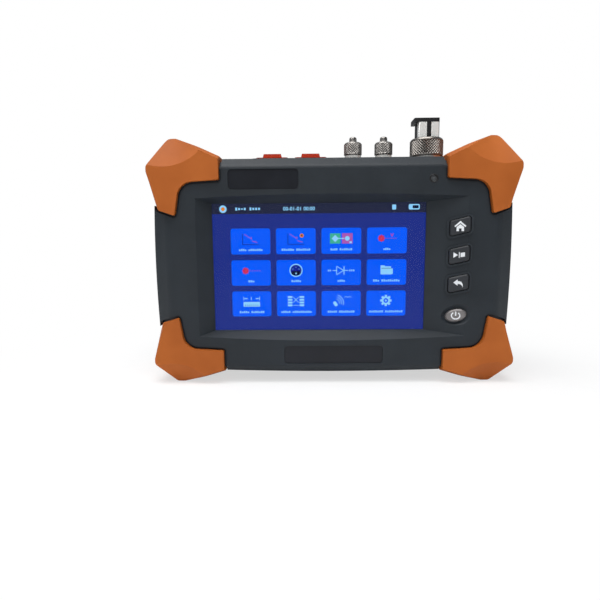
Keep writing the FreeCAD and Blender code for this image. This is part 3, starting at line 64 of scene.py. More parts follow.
# %% Place the camera
CAMERA_AT = Vector((-12.95, -250.0, 72.84)) * MM
YAW, PITCH, ROLL = math.radians(-0.92), math.radians(7.45), math.radians(-0.46)
forward = Vector((math.sin(YAW) * math.cos(PITCH), math.cos(YAW) * math.cos(PITCH),
                  -math.sin(PITCH)))
level = Vector((math.cos(YAW), -math.sin(YAW), 0))
upright = level.cross(forward)
right = math.cos(ROLL) * level + math.sin(ROLL) * upright
up = right.cross(forward)
lens = bpy.data.cameras.new("camera")
lens.sensor_width = 36.0
lens.lens = 27.006
lens.clip_start = 0.01
camera = bpy.data.objects.new("camera", lens)
scene.collection.objects.link(camera)
camera.matrix_world = Matrix((
    (right.x, up.x, -forward.x, CAMERA_AT.x),
    (right.y, up.y, -forward.y, CAMERA_AT.y),
    (right.z, up.z, -forward.z, CAMERA_AT.z),
    (0, 0, 0, 1)))
scene.camera = camera
print("camera looks along", [round(v, 3) for v in forward])

# %% [markdown]
# ## Finishes
# A real moulded or plated face is never one flat colour: it has a fine grain and soft patches. That
# could be an image wrapped round each piece, but then every piece would need its own unwrapping. Here
# every finish is procedural, which also stays sharp close up. The helpers keep each one short: a
# material, a noise pattern on Object coordinates, a colour ramp that lets the pattern shift the
# colour a little, and a bump. Values that are the same all over go onto the shader's own sockets.

# %% Helpers for materials
def new_material(name):
    material = bpy.data.materials.new(name)
    material.use_nodes = True
    tree = material.node_tree
    shader = tree.nodes["Principled BSDF"]
    return material, tree, shader


def pattern(tree, scale, detail, rough, stretch=(1, 1, 1)):
    """A noise pattern on Object coordinates; scale is in waves per metre."""
    place = tree.nodes.new("ShaderNodeTexCoord")
    mapping = tree.nodes.new("ShaderNodeMapping")
    mapping.inputs["Scale"].default_value = stretch
    noise = tree.nodes.new("ShaderNodeTexNoise")
    noise.inputs["Scale"].default_value = scale
    noise.inputs["Detail"].default_value = detail
    noise.inputs["Roughness"].default_value = rough
    tree.links.new(place.outputs["Object"], mapping.inputs["Vector"])
    tree.links.new(mapping.outputs["Vector"], noise.inputs["Vector"])
    return noise


def ramp(tree, source, low, high, dark, light):
    """Turns a pattern into a colour between dark and light."""
    node = tree.nodes.new("ShaderNodeValToRGB")
    node.color_ramp.elements[0].position = low
    node.color_ramp.elements[1].position = high
    node.color_ramp.elements[0].color = (*dark, 1)
    node.color_ramp.elements[1].color = (*light, 1)
    tree.links.new(source.outputs["Fac"], node.inputs["Fac"])
    return node


def spread(tree, source, low, high):
    """Maps a pattern onto a range of roughness."""
    node = tree.nodes.new("ShaderNodeMapRange")
    node.inputs["To Min"].default_value = low
    node.inputs["To Max"].default_value = high
    tree.links.new(source.outputs["Fac"], node.inputs["Value"])
    return node


def bump(tree, shader, source, height):
    """Lets a pattern tilt the surface, as if it stood height metres proud."""
    node = tree.nodes.new("ShaderNodeBump")
    node.inputs["Distance"].default_value = height
    node.inputs["Strength"].default_value = 1.0
    tree.links.new(source.outputs["Fac"], node.inputs["Height"])
    tree.links.new(node.outputs["Normal"], shader.inputs["Normal"])


def moulded(name, dark, light, rough, grain=2600.0, height=0.00004, metal=0.0, specular=0.5,
            patches=60.0, stretch=(1, 1, 1)):
    """A moulded, cast or plated finish: soft patches of colour over a fine grain."""
    material, tree, shader = new_material(name)
    soft = pattern(tree, patches, 3.0, 0.55)
    fine = pattern(tree, grain, 3.0, 0.6, stretch)
    colour = ramp(tree, soft, 0.32, 0.68, dark, light)
    tree.links.new(colour.outputs["Color"], shader.inputs["Base Color"])
    spreading = spread(tree, soft, rough[0], rough[1])
    tree.links.new(spreading.outputs["Result"], shader.inputs["Roughness"])
    bump(tree, shader, fine, height)
    shader.inputs["Metallic"].default_value = metal
    shader.inputs["Specular IOR Level"].default_value = specular
    return material


def lit(name, colour):
    """A lit patch of the screen: black plastic that glows, with the faint grid of a panel."""
    material, tree, shader = new_material(name)
    dots = pattern(tree, 9000.0, 1.0, 0.4)
    dim = tuple(0.9 * c for c in colour)
    shade = ramp(tree, dots, 0.35, 0.65, dim, colour)
    tree.links.new(shade.outputs["Color"], shader.inputs["Emission Color"])
    shader.inputs["Emission Strength"].default_value = 1.0
    shader.inputs["Base Color"].default_value = (0.004, 0.004, 0.005, 1)
    shader.inputs["Roughness"].default_value = 0.5
    shader.inputs["Specular IOR Level"].default_value = 0.0
    return material


print("helpers ready")

# %% [markdown]
# ### Case, rubber and trim
# The case is a cool charcoal plastic with a fine spark-eroded grain. The corners are a soft orange
# rubber, and the port flaps are the same kind of rubber in red. Rubber and plastic differ mostly in
# how rough and how shiny they are, so one function makes them all from two colours, a range of
# roughness, a grain and a shine.

# %% Plastics and rubbers
housing = moulded("housing_grain", (0.0112, 0.0156, 0.0205), (0.0156, 0.0212, 0.0272),
                  (0.48, 0.6), grain=3200.0, height=0.00006, specular=0.36)
orange = moulded("orange_rubber", (0.39, 0.096, 0.0135), (0.46, 0.120, 0.019), (0.5, 0.64),
                 grain=2200.0, height=0.00003, patches=45.0, specular=0.22)
red_rubber = moulded("red_rubber", (0.36, 0.018, 0.002), (0.45, 0.032, 0.004), (0.55, 0.68),
                     grain=2600.0, height=0.00003, specular=0.12)
black_rubber = moulded("black_rubber", (0.010, 0.010, 0.011), (0.018, 0.018, 0.019), (0.6, 0.75))
inlay_film = moulded("inlay_film", (0.0065, 0.0075, 0.011), (0.0095, 0.011, 0.016), (0.3, 0.42),
                     grain=1500.0, height=0.00001, specular=0.3)
key_plastic = moulded("key_plastic", (0.019, 0.021, 0.025), (0.027, 0.030, 0.035), (0.38, 0.5),
                      grain=3600.0, height=0.00003, specular=0.4)
silver_key = moulded("silver_key", (0.15, 0.14, 0.145), (0.22, 0.205, 0.20), (0.4, 0.5),
                     grain=4200.0, height=0.00001, metal=0.5)
lamp_tint = moulded("lamp_tint", (0.045, 0.048, 0.052), (0.10, 0.105, 0.11), (0.2, 0.3),
                    height=0.00001, patches=1600.0)
print("materials so far", len(bpy.data.materials))

# %% [markdown]
# ### Metals
# The ports are nickel-plated brass. Turned faces keep fine rings, so their grain is stretched flat.
# The square receptacle is polished. Inside there are steel, aluminium, brass and gold. A metal could
# be fully metallic everywhere, but then it only mirrors its surroundings, which are dim and plain
# here. So most of the plated pieces have a metallic share below one, and keep a colour of their own.
# The receptacle and the smooth necks of the caps are near white: a painted reflection of bright
# surroundings.

# %% Metals and inner parts
turned_nickel = moulded("turned_nickel", (0.46, 0.44, 0.41), (0.60, 0.58, 0.55), (0.2, 0.32),
                        grain=900.0, height=0.00002, metal=1.0, stretch=(1, 1, 14))
cap_nickel = moulded("cap_nickel", (0.25, 0.235, 0.22), (0.37, 0.35, 0.33), (0.3, 0.42),
                     grain=2600.0, height=0.00003, metal=0.9)
ring_nickel = moulded("ring_nickel", (0.145, 0.133, 0.12), (0.24, 0.222, 0.205), (0.26, 0.38),
                      grain=2600.0, height=0.00003, metal=0.9)
# Near white with a low metallic share: painted reflection on the smooth necks of the caps.
neck_nickel_painted_reflection = moulded("neck_nickel_painted_reflection", (0.82, 0.80, 0.76), (0.92, 0.90, 0.86), (0.22, 0.34),
                      grain=1200.0, height=0.00001, metal=0.6)
# Near white with a low metallic share: painted reflection on the polished receptacle.
polished_nickel = moulded("polished_nickel", (0.86, 0.85, 0.81), (0.93, 0.92, 0.89),
                          (0.2, 0.3), grain=1200.0, height=0.000005, metal=0.3)
steel = moulded("screw_steel", (0.34, 0.34, 0.35), (0.46, 0.46, 0.47), (0.25, 0.4), metal=1.0,
                height=0.00001)
brass = moulded("turned_brass", (0.62, 0.44, 0.18), (0.72, 0.52, 0.24), (0.25, 0.35), metal=1.0,
                height=0.00001)
gold = moulded("gold_plate", (0.80, 0.55, 0.20), (0.88, 0.63, 0.26), (0.18, 0.26), metal=1.0,
               height=0.00001)
aluminium = moulded("milled_aluminium", (0.52, 0.52, 0.54), (0.62, 0.62, 0.64), (0.3, 0.42),
                    metal=1.0, height=0.00001, stretch=(1, 1, 10))
zirconia = moulded("ground_zirconia", (0.80, 0.80, 0.76), (0.88, 0.88, 0.85), (0.2, 0.3),
                   height=0.000005)
board_mask = moulded("solder_mask", (0.012, 0.10, 0.04), (0.02, 0.15, 0.06), (0.25, 0.4),
                     grain=900.0, height=0.00004)
jack_black = moulded("jack_plastic", (0.012, 0.012, 0.013), (0.02, 0.02, 0.021), (0.4, 0.5))
# The black plastic of the dust plug, also used as painted shade down the receptacle's sides and round
# the lamp.
black_plastic_and_painted_shade = moulded("dust_plug_plastic_and_painted_shade", (0.006, 0.006, 0.007), (0.011, 0.011, 0.012),
                     (0.4, 0.52), height=0.00001, specular=0.35)
battery_wrap = moulded("battery_wrap", (0.02, 0.035, 0.10), (0.03, 0.05, 0.14), (0.2, 0.3),
                       height=0.00001)
panel_black = moulded("panel_frame", (0.006, 0.006, 0.007), (0.01, 0.01, 0.011), (0.3, 0.4),
                      height=0.00001)
print("materials so far", len(bpy.data.materials))

# %% [markdown]
# ### Dressing the CAD model
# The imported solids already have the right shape, so most pieces only need a finish. Their material
# slots could be filled one by one. A table from finish to pieces is shorter and shows at a glance
# which pieces share a finish, and its last line tells how many pieces were reached.

# %% Dress the CAD nodes
FINISHES = {
    housing: ["front_shell", "rear_shell", "port_plate", "adapter_plate", "battery_door",
              "stand"],
    orange: ["bumper_upper_left", "bumper_upper_right", "bumper_lower_left",
             "bumper_lower_right"],
    red_rubber: ["lan_cover", "supply_cover", "cover_anchors"],
    black_rubber: ["case_seal", "display_gasket", "stand_pad", "keypad_mat"],
    inlay_film: ["upper_inlay", "lower_inlay"],
    key_plastic: ["key_home", "key_run_stop", "key_back"],
    silver_key: ["key_power"],
    lamp_tint: ["lamp_lens"],
    turned_nickel: ["test_adapter", "locator_adapter", "meter_port", "adapter_nuts"],
    cap_nickel: ["test_cap", "locator_cap"],
    ring_nickel: ["coupling_ring"],
    polished_nickel: ["meter_head"],
    steel: ["display_bracket", "board_screws", "key_board_screws", "battery_door_screws",
            "shell_screws", "key_switches", "processor_shield", "supply_shield", "lan_jack",
            "data_jack", "detector"],
    brass: ["board_standoffs"],
    gold: ["lan_contacts"],
    aluminium: ["optical_engine"],
    zirconia: ["alignment_sleeves", "pigtail_ferrules"],
    board_mask: ["main_board", "port_board", "key_board"],
    jack_black: ["charging_jack", "board_link"],
    black_plastic_and_painted_shade: ["meter_dust_plug"],
    battery_wrap: ["battery_pack"],
    panel_black: ["display_panel", "touch_glass"],
}
dressed = 0
for material, members in FINISHES.items():
    for member in members:
        for place in nodes[member].material_slots:
            place.material = material
        dressed += 1
print("dressed", dressed, "of", len(nodes))

# %% [markdown]
# ## The lit screen
# The panel glows behind a thin clear sheet. It shows a backdrop, a status strip along the top and
# twelve tiles, each with a generic picture. It could be one image on one face. Here it is thin raised
# plates instead, which need no image and stay crisp close up. Screen places are given in millimetres
# from the top left corner, u to the right and v down.

# %% Screen helpers
panel_low, panel_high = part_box("display_panel")
glass_low, glass_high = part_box("touch_glass")
SCREEN_W, SCREEN_H = 108.0, 64.8
SCREEN_X = (panel_low.x + panel_high.x) / 2 / MM - SCREEN_W / 2
SCREEN_Z = (panel_low.z + panel_high.z) / 2 / MM + SCREEN_H / 2
PANEL_FACE = panel_low.y / MM
PLATE_THICK = 0.04
FACET_ANGLE = 14.0


def deselect():
    bpy.ops.object.select_all(action="DESELECT")


def settle(piece, name, material, body):
    """Applies a piece's place, names it and says what it rides on."""
    deselect()
    piece.select_set(True)
    bpy.context.view_layer.objects.active = piece
    bpy.ops.object.transform_apply(location=True, rotation=True, scale=True)
    piece.name = name
    piece.data.name = name
    piece.data.materials.clear()
    piece.data.materials.append(material)
    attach(piece, body)
    return piece


def joined(parts):
    """Makes one object of several, with its place in its mesh."""
    deselect()
    for part in parts:
        part.select_set(True)
    bpy.context.view_layer.objects.active = parts[0]
    bpy.ops.object.transform_apply(location=True, rotation=True, scale=True)
    if len(parts) > 1:
        bpy.ops.object.join()
    return bpy.context.view_layer.objects.active


def shade_by_angle(piece):
    """Smooths a turned surface and keeps its knurl and its steps as edges."""
    deselect()
    piece.select_set(True)
    bpy.context.view_layer.objects.active = piece
    bpy.ops.object.shade_smooth_by_angle(angle=math.radians(FACET_ANGLE))


def bar(u, v, w, h, lift, corner=0.0, turn=0.0):
    """A thin plate on the screen, centred at (u, v) mm from the screen's top left corner."""
    deselect()
    bpy.ops.mesh.primitive_cube_add(size=1, location=(
        (SCREEN_X + u) * MM, (PANEL_FACE - lift) * MM, (SCREEN_Z - v) * MM))
    plate = bpy.context.active_object
    plate.scale = (w * MM, PLATE_THICK * MM, h * MM)
    if corner:
        bpy.ops.object.transform_apply(location=False, rotation=False, scale=True)
        bpy.ops.object.mode_set(mode="EDIT")
        mesh = bmesh.from_edit_mesh(plate.data)
        for edge in mesh.edges:
            a, b = (vertex.co for vertex in edge.verts)
            edge.select_set(abs(a.y - b.y) > PLATE_THICK * MM * 0.5)
        bmesh.update_edit_mesh(plate.data)
        bpy.ops.mesh.bevel(offset=corner * MM, segments=4, affect="EDGES")
        bpy.ops.object.mode_set(mode="OBJECT")
    plate.rotation_euler = (0, math.radians(turn), 0)
    return plate


def disc(u, v, r, lift, sides=24):
    """A thin disc on the screen, centred at (u, v)."""
    deselect()
    bpy.ops.mesh.primitive_cylinder_add(vertices=sides, radius=r * MM, depth=PLATE_THICK * MM,
                                        location=((SCREEN_X + u) * MM, (PANEL_FACE - lift) * MM,
                                                  (SCREEN_Z - v) * MM),
                                        rotation=(math.pi / 2, 0, 0))
    return bpy.context.active_object


def stroke(u0, v0, u1, v1, w, lift):
    """A straight line of width w between two screen places."""
    turn = math.degrees(math.atan2(v1 - v0, u1 - u0))
    return bar((u0 + u1) / 2, (v0 + v1) / 2, math.hypot(u1 - u0, v1 - v0), w, lift, turn=turn)


print("screen from", round(SCREEN_X, 2), round(SCREEN_Z, 2), "panel face", PANEL_FACE)

# %% [markdown]
# A lit panel gives off its own light, so its colours glow and hardly change with the room. Each
# colour could be a lamp behind tinted film. An emission colour on nearly black plastic does the same
# with no extra light to balance.

# %% Screen colours
backdrop_blue = lit("screen_backdrop", (0.012, 0.028, 0.24))
status_navy = lit("screen_status", (0.016, 0.020, 0.050))
tile_blue = lit("screen_tile", (0.0, 0.105, 1.0))
mark_cyan = lit("screen_mark_cyan", (0.28, 0.66, 1.0))
mark_navy = lit("screen_mark_navy", (0.004, 0.012, 0.30))
mark_red = lit("screen_mark_red", (0.60, 0.03, 0.10))
mark_pink = lit("screen_mark_pink", (0.42, 0.10, 0.45))
mark_green = lit("screen_mark_green", (0.05, 0.45, 0.30))
mark_amber = lit("screen_mark_amber", (0.80, 0.25, 0.03))
mark_dark = lit("screen_mark_dark", (0.003, 0.006, 0.03))
print("materials so far", len(bpy.data.materials))

# %% [markdown]
# The tiles are the buttons of the instrument's start page. Each could be drawn by itself, but they
# are all alike, so one is modelled with its rounded corners and copied eleven times, each copy with
# its own mesh. The backdrop and the status strip are single bevelled plates.

# %% Backdrop, status strip and tiles
STATUS_H = 5.1
TILE_W, TILE_H = 20.3, 13.2
TILE_U, TILE_V = 8.95, 12.4
TILE_PITCH_U, TILE_PITCH_V = 23.25, 16.15
TILES, COLUMNS = 12, 4
BACK_LIFT, TILE_LIFT, MARK_LIFT, TOP_LIFT = 0.05, 0.12, 0.18, 0.24
backdrop = bar(SCREEN_W / 2, SCREEN_H / 2, SCREEN_W + 1.6, SCREEN_H + 1.6, BACK_LIFT,
               corner=0.5)
settle(backdrop, "screen_backdrop", backdrop_blue, "instrument")
strip = bar(SCREEN_W / 2, STATUS_H / 2 - 0.4, SCREEN_W + 1.6, STATUS_H + 0.8, TILE_LIFT,
            corner=0.3)
settle(strip, "screen_status_strip", status_navy, "instrument")
first = bar(TILE_U + TILE_W / 2, TILE_V + TILE_H / 2, TILE_W, TILE_H, TILE_LIFT, corner=1.2)
tiles = [first]
for index in range(1, TILES):
    row, column = divmod(index, COLUMNS)
    copy = first.copy()
    copy.data = first.data.copy()
    copy.location.x += column * TILE_PITCH_U * MM
    copy.location.z -= row * TILE_PITCH_V * MM
    scene.collection.objects.link(copy)
    tiles.append(copy)
settle(joined(tiles), "screen_tiles", tile_blue, "instrument")
print("tiles", len(tiles))

# %% [markdown]
# Each tile has a small picture and a caption. They could be traced from drawings as curves. At this
# size strokes, bars and discs read just as well and are quick to place. They are gathered in one list
# for each colour, because pieces of one colour can be joined into one. The captions are short plain
# bars, so that no word stands on the screen.

# %% Helpers for the pictures
CAPTION_HIGH, CAPTION_V, WORD_GAP, LETTER_PITCH = 1.1, 10.9, 0.9, 1.05
cyan, navy, red, pink, green, amber, dark = [], [], [], [], [], [], []
MARKS = (cyan, navy, red, pink, green, amber, dark)


def tile_corner(index):
    row, column = divmod(index, COLUMNS)
    return TILE_U + column * TILE_PITCH_U, TILE_V + row * TILE_PITCH_V


def caption(index, words):
    """Short bars under a picture, one group for each length in words."""
    u0, v0 = tile_corner(index)
    total = sum(words) + WORD_GAP * (len(words) - 1)
    u = u0 + TILE_W / 2 - total / 2
    for length in words:
        count = max(2, round(length / LETTER_PITCH))
        step = length / count
        for i in range(count):
            tall = CAPTION_HIGH if (i * 7 + index) % 3 else CAPTION_HIGH * 0.72
            cyan.append(bar(u + step * (i + 0.5), v0 + CAPTION_V + (CAPTION_HIGH - tall) / 2,
                            step * 0.68, tall, MARK_LIFT))
        u += length + WORD_GAP


def trace_chart(index):
    """Two axes and a falling trace."""
    u, v = tile_corner(index)
    navy.append(bar(u + 6.1, v + 5.5, 0.32, 5.6, MARK_LIFT))
    navy.append(bar(u + 10.2, v + 8.2, 8.4, 0.32, MARK_LIFT))
    pink.append(stroke(u + 7.0, v + 2.9, u + 10.6, v + 5.2, 0.22, MARK_LIFT))
    pink.append(stroke(u + 10.7, v + 4.2, u + 10.7, v + 5.6, 0.22, MARK_LIFT))
    pink.append(stroke(u + 11.0, v + 6.4, u + 13.6, v + 7.1, 0.3, MARK_LIFT))


def light_source(index):
    """A scalloped red spot with a dashed beam."""
    u, v = tile_corner(index)
    red.append(disc(u + 7.3, v + 5.5, 1.5, MARK_LIFT))
    for i in range(8):
        turn = math.radians(45 * i)
        red.append(disc(u + 7.3 + 1.6 * math.cos(turn), v + 5.5 + 1.6 * math.sin(turn), 0.28,
                        MARK_LIFT, sides=8))
    for i in range(5):
        red.append(bar(u + 9.6 + 1.25 * i, v + 5.5, 0.75, 0.16, MARK_LIFT))


print("picture helpers ready")

# %% [markdown]
# The first row holds two charts, a link between two boxes and a light source. What two pictures
# share, the chart and the scalloped spot, comes from the helpers, and the rest is placed one by one.

# %% Pictures of the first row
trace_chart(0)
trace_chart(1)
u, v = tile_corner(1)
amber.append(disc(u + 13.2, v + 3.8, 1.0, MARK_LIFT))
dark.append(disc(u + 13.2, v + 3.8, 0.5, TOP_LIFT))
u, v = tile_corner(2)
green.append(bar(u + 7.0, v + 5.4, 5.4, 5.2, MARK_LIFT))
pink.append(bar(u + 13.2, v + 5.4, 5.4, 5.2, MARK_LIFT))
cyan.append(bar(u + 7.0, v + 5.4, 2.6, 2.6, TOP_LIFT, turn=45))
cyan.append(bar(u + 10.2, v + 5.4, 3.0, 0.5, TOP_LIFT))
cyan.append(disc(u + 13.2, v + 5.4, 1.2, TOP_LIFT))
cyan.append(bar(u + 14.9, v + 7.4, 1.2, 0.9, TOP_LIFT))
light_source(3)
u, v = tile_corner(3)
red.append(stroke(u + 12.0, v + 3.0, u + 12.7, v + 4.6, 0.25, MARK_LIFT))
red.append(stroke(u + 12.7, v + 4.6, u + 13.4, v + 3.0, 0.25, MARK_LIFT))
print("marks after the first row", sum(map(len, MARKS)))

# %% [markdown]
# The second row holds a light source, a round meter, a splitter and a pair of folders. The meter is
# two discs of different heights, which gives a clean rim without cutting a hole.

# %% Pictures of the second row
light_source(4)
u, v = tile_corner(5)
cyan.append(disc(u + 10.1, v + 5.4, 3.4, MARK_LIFT, sides=40))
navy.append(disc(u + 10.1, v + 5.4, 2.85, TOP_LIFT, sides=40))
dark.append(bar(u + 10.1, v + 6.75, 4.6, 2.1, TOP_LIFT + 0.05, corner=0.9))
cyan.append(disc(u + 10.1, v + 7.0, 0.42, TOP_LIFT + 0.1, sides=12))
for du, dv in ((-1.5, -0.7), (0, -1.6), (1.5, -0.7)):
    cyan.append(disc(u + 10.1 + du, v + 5.4 + dv, 0.22, TOP_LIFT + 0.05, sides=8))
u, v = tile_corner(6)
cyan.append(bar(u + 6.9, v + 5.6, 2.2, 0.4, MARK_LIFT))
cyan.append(bar(u + 12.8, v + 5.6, 1.8, 0.4, MARK_LIFT))
cyan.append(bar(u + 11.6, v + 5.6, 0.45, 4.4, MARK_LIFT))
for a, b in (((7.8, 3.4), (7.8, 7.8)), ((7.8, 3.4), (11.4, 5.6)), ((7.8, 7.8), (11.4, 5.6))):
    cyan.append(stroke(u + a[0], v + a[1], u + b[0], v + b[1], 0.34, MARK_LIFT))
for du in (3.6, 4.5, 14.6, 15.6, 16.6):
    cyan.append(bar(u + du, v + 5.6, 0.55, 0.9, MARK_LIFT))
u, v = tile_corner(7)
cyan.append(bar(u + 9.8, v + 5.7, 5.4, 4.2, MARK_LIFT, corner=0.4))
cyan.append(bar(u + 8.2, v + 3.7, 2.2, 1.2, MARK_LIFT, corner=0.3))
cyan.append(bar(u + 10.7, v + 6.2, 5.4, 3.0, TOP_LIFT, corner=0.4))
navy.append(bar(u + 10.2, v + 4.6, 5.4, 0.25, TOP_LIFT + 0.05))
print("marks after the second row", sum(map(len, MARKS)))

# %% [markdown]
# The third row holds a ruled box, a patch field, a dish with its waves and a gear. The waves and the
# gear's teeth repeat round a centre, so loops place them with a sine and a cosine.

# %% Pictures of the third row
u, v = tile_corner(8)
cyan.append(bar(u + 10.1, v + 6.8, 8.6, 2.5, MARK_LIFT, corner=0.2))
for i in range(7):
    navy.append(bar(u + 6.9 + 1.07 * i, v + 7.4, 0.22, 1.0, TOP_LIFT))
for side in (-1, 1):
    cyan.append(bar(u + 10.1 + side * 4.1, v + 3.8, 0.3, 1.9, MARK_LIFT))
    cyan.append(bar(u + 10.1 + side * 2.9, v + 3.8, 1.5, 0.5, MARK_LIFT))
cyan.append(bar(u + 9.9, v + 3.8, 0.35, 1.6, MARK_LIFT))
u, v = tile_corner(9)
for i in range(4):
    for du in (6.9, 13.0):
        cyan.append(bar(u + du, v + 3.1 + 1.45 * i, 2.5, 1.0, MARK_LIFT, corner=0.3))
cyan.append(stroke(u + 8.6, v + 3.2, u + 11.3, v + 6.0, 0.3, MARK_LIFT))
cyan.append(stroke(u + 8.6, v + 6.0, u + 11.3, v + 3.2, 0.3, MARK_LIFT))
cyan.append(stroke(u + 8.6, v + 7.45, u + 11.3, v + 7.45, 0.25, MARK_LIFT))
u, v = tile_corner(10)
cyan.append(bar(u + 7.2, v + 6.8, 1.7, 2.7, MARK_LIFT, corner=0.6, turn=-35))
for reach in (2.0, 3.1, 4.2):
    for i in range(5):
        a = math.radians(-75 + 18 * i)
        b = math.radians(-75 + 18 * (i + 1))
        cyan.append(stroke(u + 7.3 + reach * math.cos(a), v + 6.3 + reach * math.sin(a),
                           u + 7.3 + reach * math.cos(b), v + 6.3 + reach * math.sin(b), 0.34,
                           MARK_LIFT))
for i in range(4):
    cyan.append(stroke(u + 11.8 + 0.9 * i, v + 3.6 - 0.8 * (i % 2), u + 12.7 + 0.9 * i,
                       v + 2.8 + 0.8 * (i % 2), 0.22, MARK_LIFT))
u, v = tile_corner(11)
for i in range(8):
    turn = 45 * i
    cyan.append(bar(u + 10.1 + 2.35 * math.cos(math.radians(turn)),
                    v + 5.2 + 2.35 * math.sin(math.radians(turn)), 1.2, 1.15, MARK_LIFT,
                    turn=turn))
cyan.append(disc(u + 10.1, v + 5.2, 2.15, MARK_LIFT))
tile_hole = disc(u + 10.1, v + 5.2, 1.25, TOP_LIFT)
cyan.append(disc(u + 10.1, v + 5.2, 0.5, TOP_LIFT + 0.05, sides=12))
settle(tile_hole, "screen_gear_eye", tile_blue, "instrument")
print("marks after the third row", sum(map(len, MARKS)))

# %% [markdown]
# A caption is one or two words long. Only the lengths of the words matter here, so each tile has a
# list of them in millimetres.

# %% Captions
CAPTIONS = [(4.0, 7.4), (6.6, 7.4), (3.8, 6.6), (3.8,), (3.4,), (5.2,), (4.0,), (3.4, 9.6),
            (5.2, 7.0), (5.0, 10.2), (5.0, 8.2), (7.4, 9.2)]
for index, words in enumerate(CAPTIONS):
    caption(index, words)
print("captions", len(CAPTIONS))

# %% [markdown]
# The status strip has a round mark, a heading, a clock and a battery. The heading is plain bars like
# the captions. The clock is a text object with plain digits, turned into a mesh, because digits drawn
# by hand would take many strokes.

# %% Marks on the status strip
cyan.append(disc(5.4, 2.6, 1.9, MARK_LIFT + 0.02, sides=32))
amber.append(disc(5.4, 2.6, 0.95, TOP_LIFT))
for i, length in enumerate((1.5, 1.1, 0.6, 1.2, 0.0, 1.5, 1.1, 1.2, 1.1)):
    if length:
        cyan.append(bar(12.2 + 1.45 * i, 2.6, 0.95, length, MARK_LIFT))
cyan.append(bar(92.2, 2.3, 2.0, 2.5, MARK_LIFT, corner=0.3))
cyan.append(bar(102.3, 2.25, 5.6, 2.7, MARK_LIFT, corner=0.7))
dark.append(bar(103.0, 2.25, 3.0, 1.5, TOP_LIFT, corner=0.3))
deselect()
bpy.ops.object.text_add(location=(0, 0, 0), rotation=(math.pi / 2, 0, 0))
clock = bpy.context.active_object
clock.data.body = "00-01-01 00:00"
clock.data.size = 2.5 * MM
clock.data.extrude = 0.02 * MM
clock.data.offset = 0.06 * MM
clock.data.space_character = 1.05
bpy.ops.object.convert(target="MESH")
clock = bpy.context.active_object
clock.location = ((SCREEN_X + 36.0) * MM, (PANEL_FACE - MARK_LIFT) * MM, (SCREEN_Z - 3.5) * MM)
cyan.append(clock)
print("marks in all", sum(map(len, MARKS)))

# %% [markdown]
# Every mark is still an object of its own, more than two hundred in all. They could stay so, but each
# would be a row of its own in the model. So all of one colour are joined, into seven pieces.

# %% Join the marks by colour
GROUPS = (("cyan", cyan, mark_cyan), ("navy", navy, mark_navy), ("red", red, mark_red),
          ("pink", pink, mark_pink), ("green", green, mark_green), ("amber", amber, mark_amber),
          ("dark", dark, mark_dark))
for label, parts, material in GROUPS:
    marks = settle(joined(parts), "screen_marks_" + label, material, "instrument")
    print(marks.name, len(marks.data.polygons), "faces")

# %% [markdown]
# ## The touch glass
# A clear sheet lies over the lit panel. The CAD solid could be made clear as it is, but it fills the
# whole space down to the panel, and the lit marks would sit inside it. So a thinner sheet with the
# same front face stands for it, a cube at its size with its edges bevelled.

# %% Clear sheet over the screen
SHEET = 0.4
EDGE_BEVEL = 0.1
glass_material, tree, shader = new_material("touch_glass_clear")
smudges = pattern(tree, 90.0, 5.0, 0.6)
haze = spread(tree, smudges, 0.015, 0.06)
tree.links.new(haze.outputs["Result"], shader.inputs["Roughness"])
shader.inputs["Base Color"].default_value = (0.97, 0.98, 1.0, 1)
shader.inputs["Transmission Weight"].default_value = 1.0
shader.inputs["IOR"].default_value = 1.12
deselect()
middle = (glass_low + glass_high) / 2
bpy.ops.mesh.primitive_cube_add(size=1, location=(middle.x, glass_low.y + SHEET * MM / 2,
                                                  middle.z))
window = bpy.context.active_object
window.scale = (glass_high.x - glass_low.x, SHEET * MM, glass_high.z - glass_low.z)
bpy.ops.object.transform_apply(location=False, rotation=False, scale=True)
bpy.ops.object.mode_set(mode="EDIT")
bpy.ops.mesh.select_all(action="SELECT")
bpy.ops.mesh.bevel(offset=EDGE_BEVEL * MM, segments=2)
bpy.ops.object.mode_set(mode="OBJECT")
settle(window, "touch_window", glass_material, "instrument")
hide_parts("touch_glass")
print("glass", [round(v / MM, 1) for v in window.dimensions])

# %% [markdown]
# ## Symbols on the keys
# White symbols are printed on the keys: a house, a triangle beside a bar and a square, a back
# arrow, and the ring and stroke of a power switch. They could be painted in the material, but thin
# plates give a crisp edge and move with their key. The keypad slopes, so each symbol is drawn flat at
# the origin, turned with the slope and laid on its key's face.

# %% Helpers for the print
FRONT_Y = -24.8
PANEL_DROP, PANEL_RUN = 5.2, 19.4
SLOPE = math.atan2(PANEL_DROP, PANEL_RUN)
white_print = moulded("white_print", (0.72, 0.74, 0.76), (0.82, 0.84, 0.86), (0.4, 0.5),
                      height=0.000005)
PRINT = 0.06


def flat_shape(points):
    """A thin plate from an outline in millimetres, facing -Y at the origin."""
    deselect()
    bpy.ops.mesh.primitive_circle_add(vertices=len(points), radius=MM, fill_type="NGON",
                                      rotation=(math.pi / 2, 0, 0))
    plate = bpy.context.active_object
    bpy.ops.object.transform_apply(location=True, rotation=True, scale=True)
    for vertex, (a, b) in zip(plate.data.vertices, points):
        vertex.co = Vector((a * MM, 0, b * MM))
    bpy.ops.object.mode_set(mode="EDIT")
    bpy.ops.mesh.select_all(action="SELECT")
    bpy.ops.mesh.extrude_region_move(TRANSFORM_OT_translate={"value": (0, -PRINT * MM, 0)})
    bpy.ops.mesh.select_all(action="SELECT")
    bpy.ops.mesh.normals_make_consistent(inside=False)
    bpy.ops.object.mode_set(mode="OBJECT")
    return plate


def line(a, b, width):
    """A stroke between two points in millimetres."""
    dx, dz = b[0] - a[0], b[1] - a[1]
    size = math.hypot(dx, dz)
    nx, nz = -dz / size * width / 2, dx / size * width / 2
    return flat_shape([(a[0] + nx, a[1] + nz), (a[0] - nx, a[1] - nz),
                       (b[0] - nx, b[1] - nz), (b[0] + nx, b[1] + nz)])


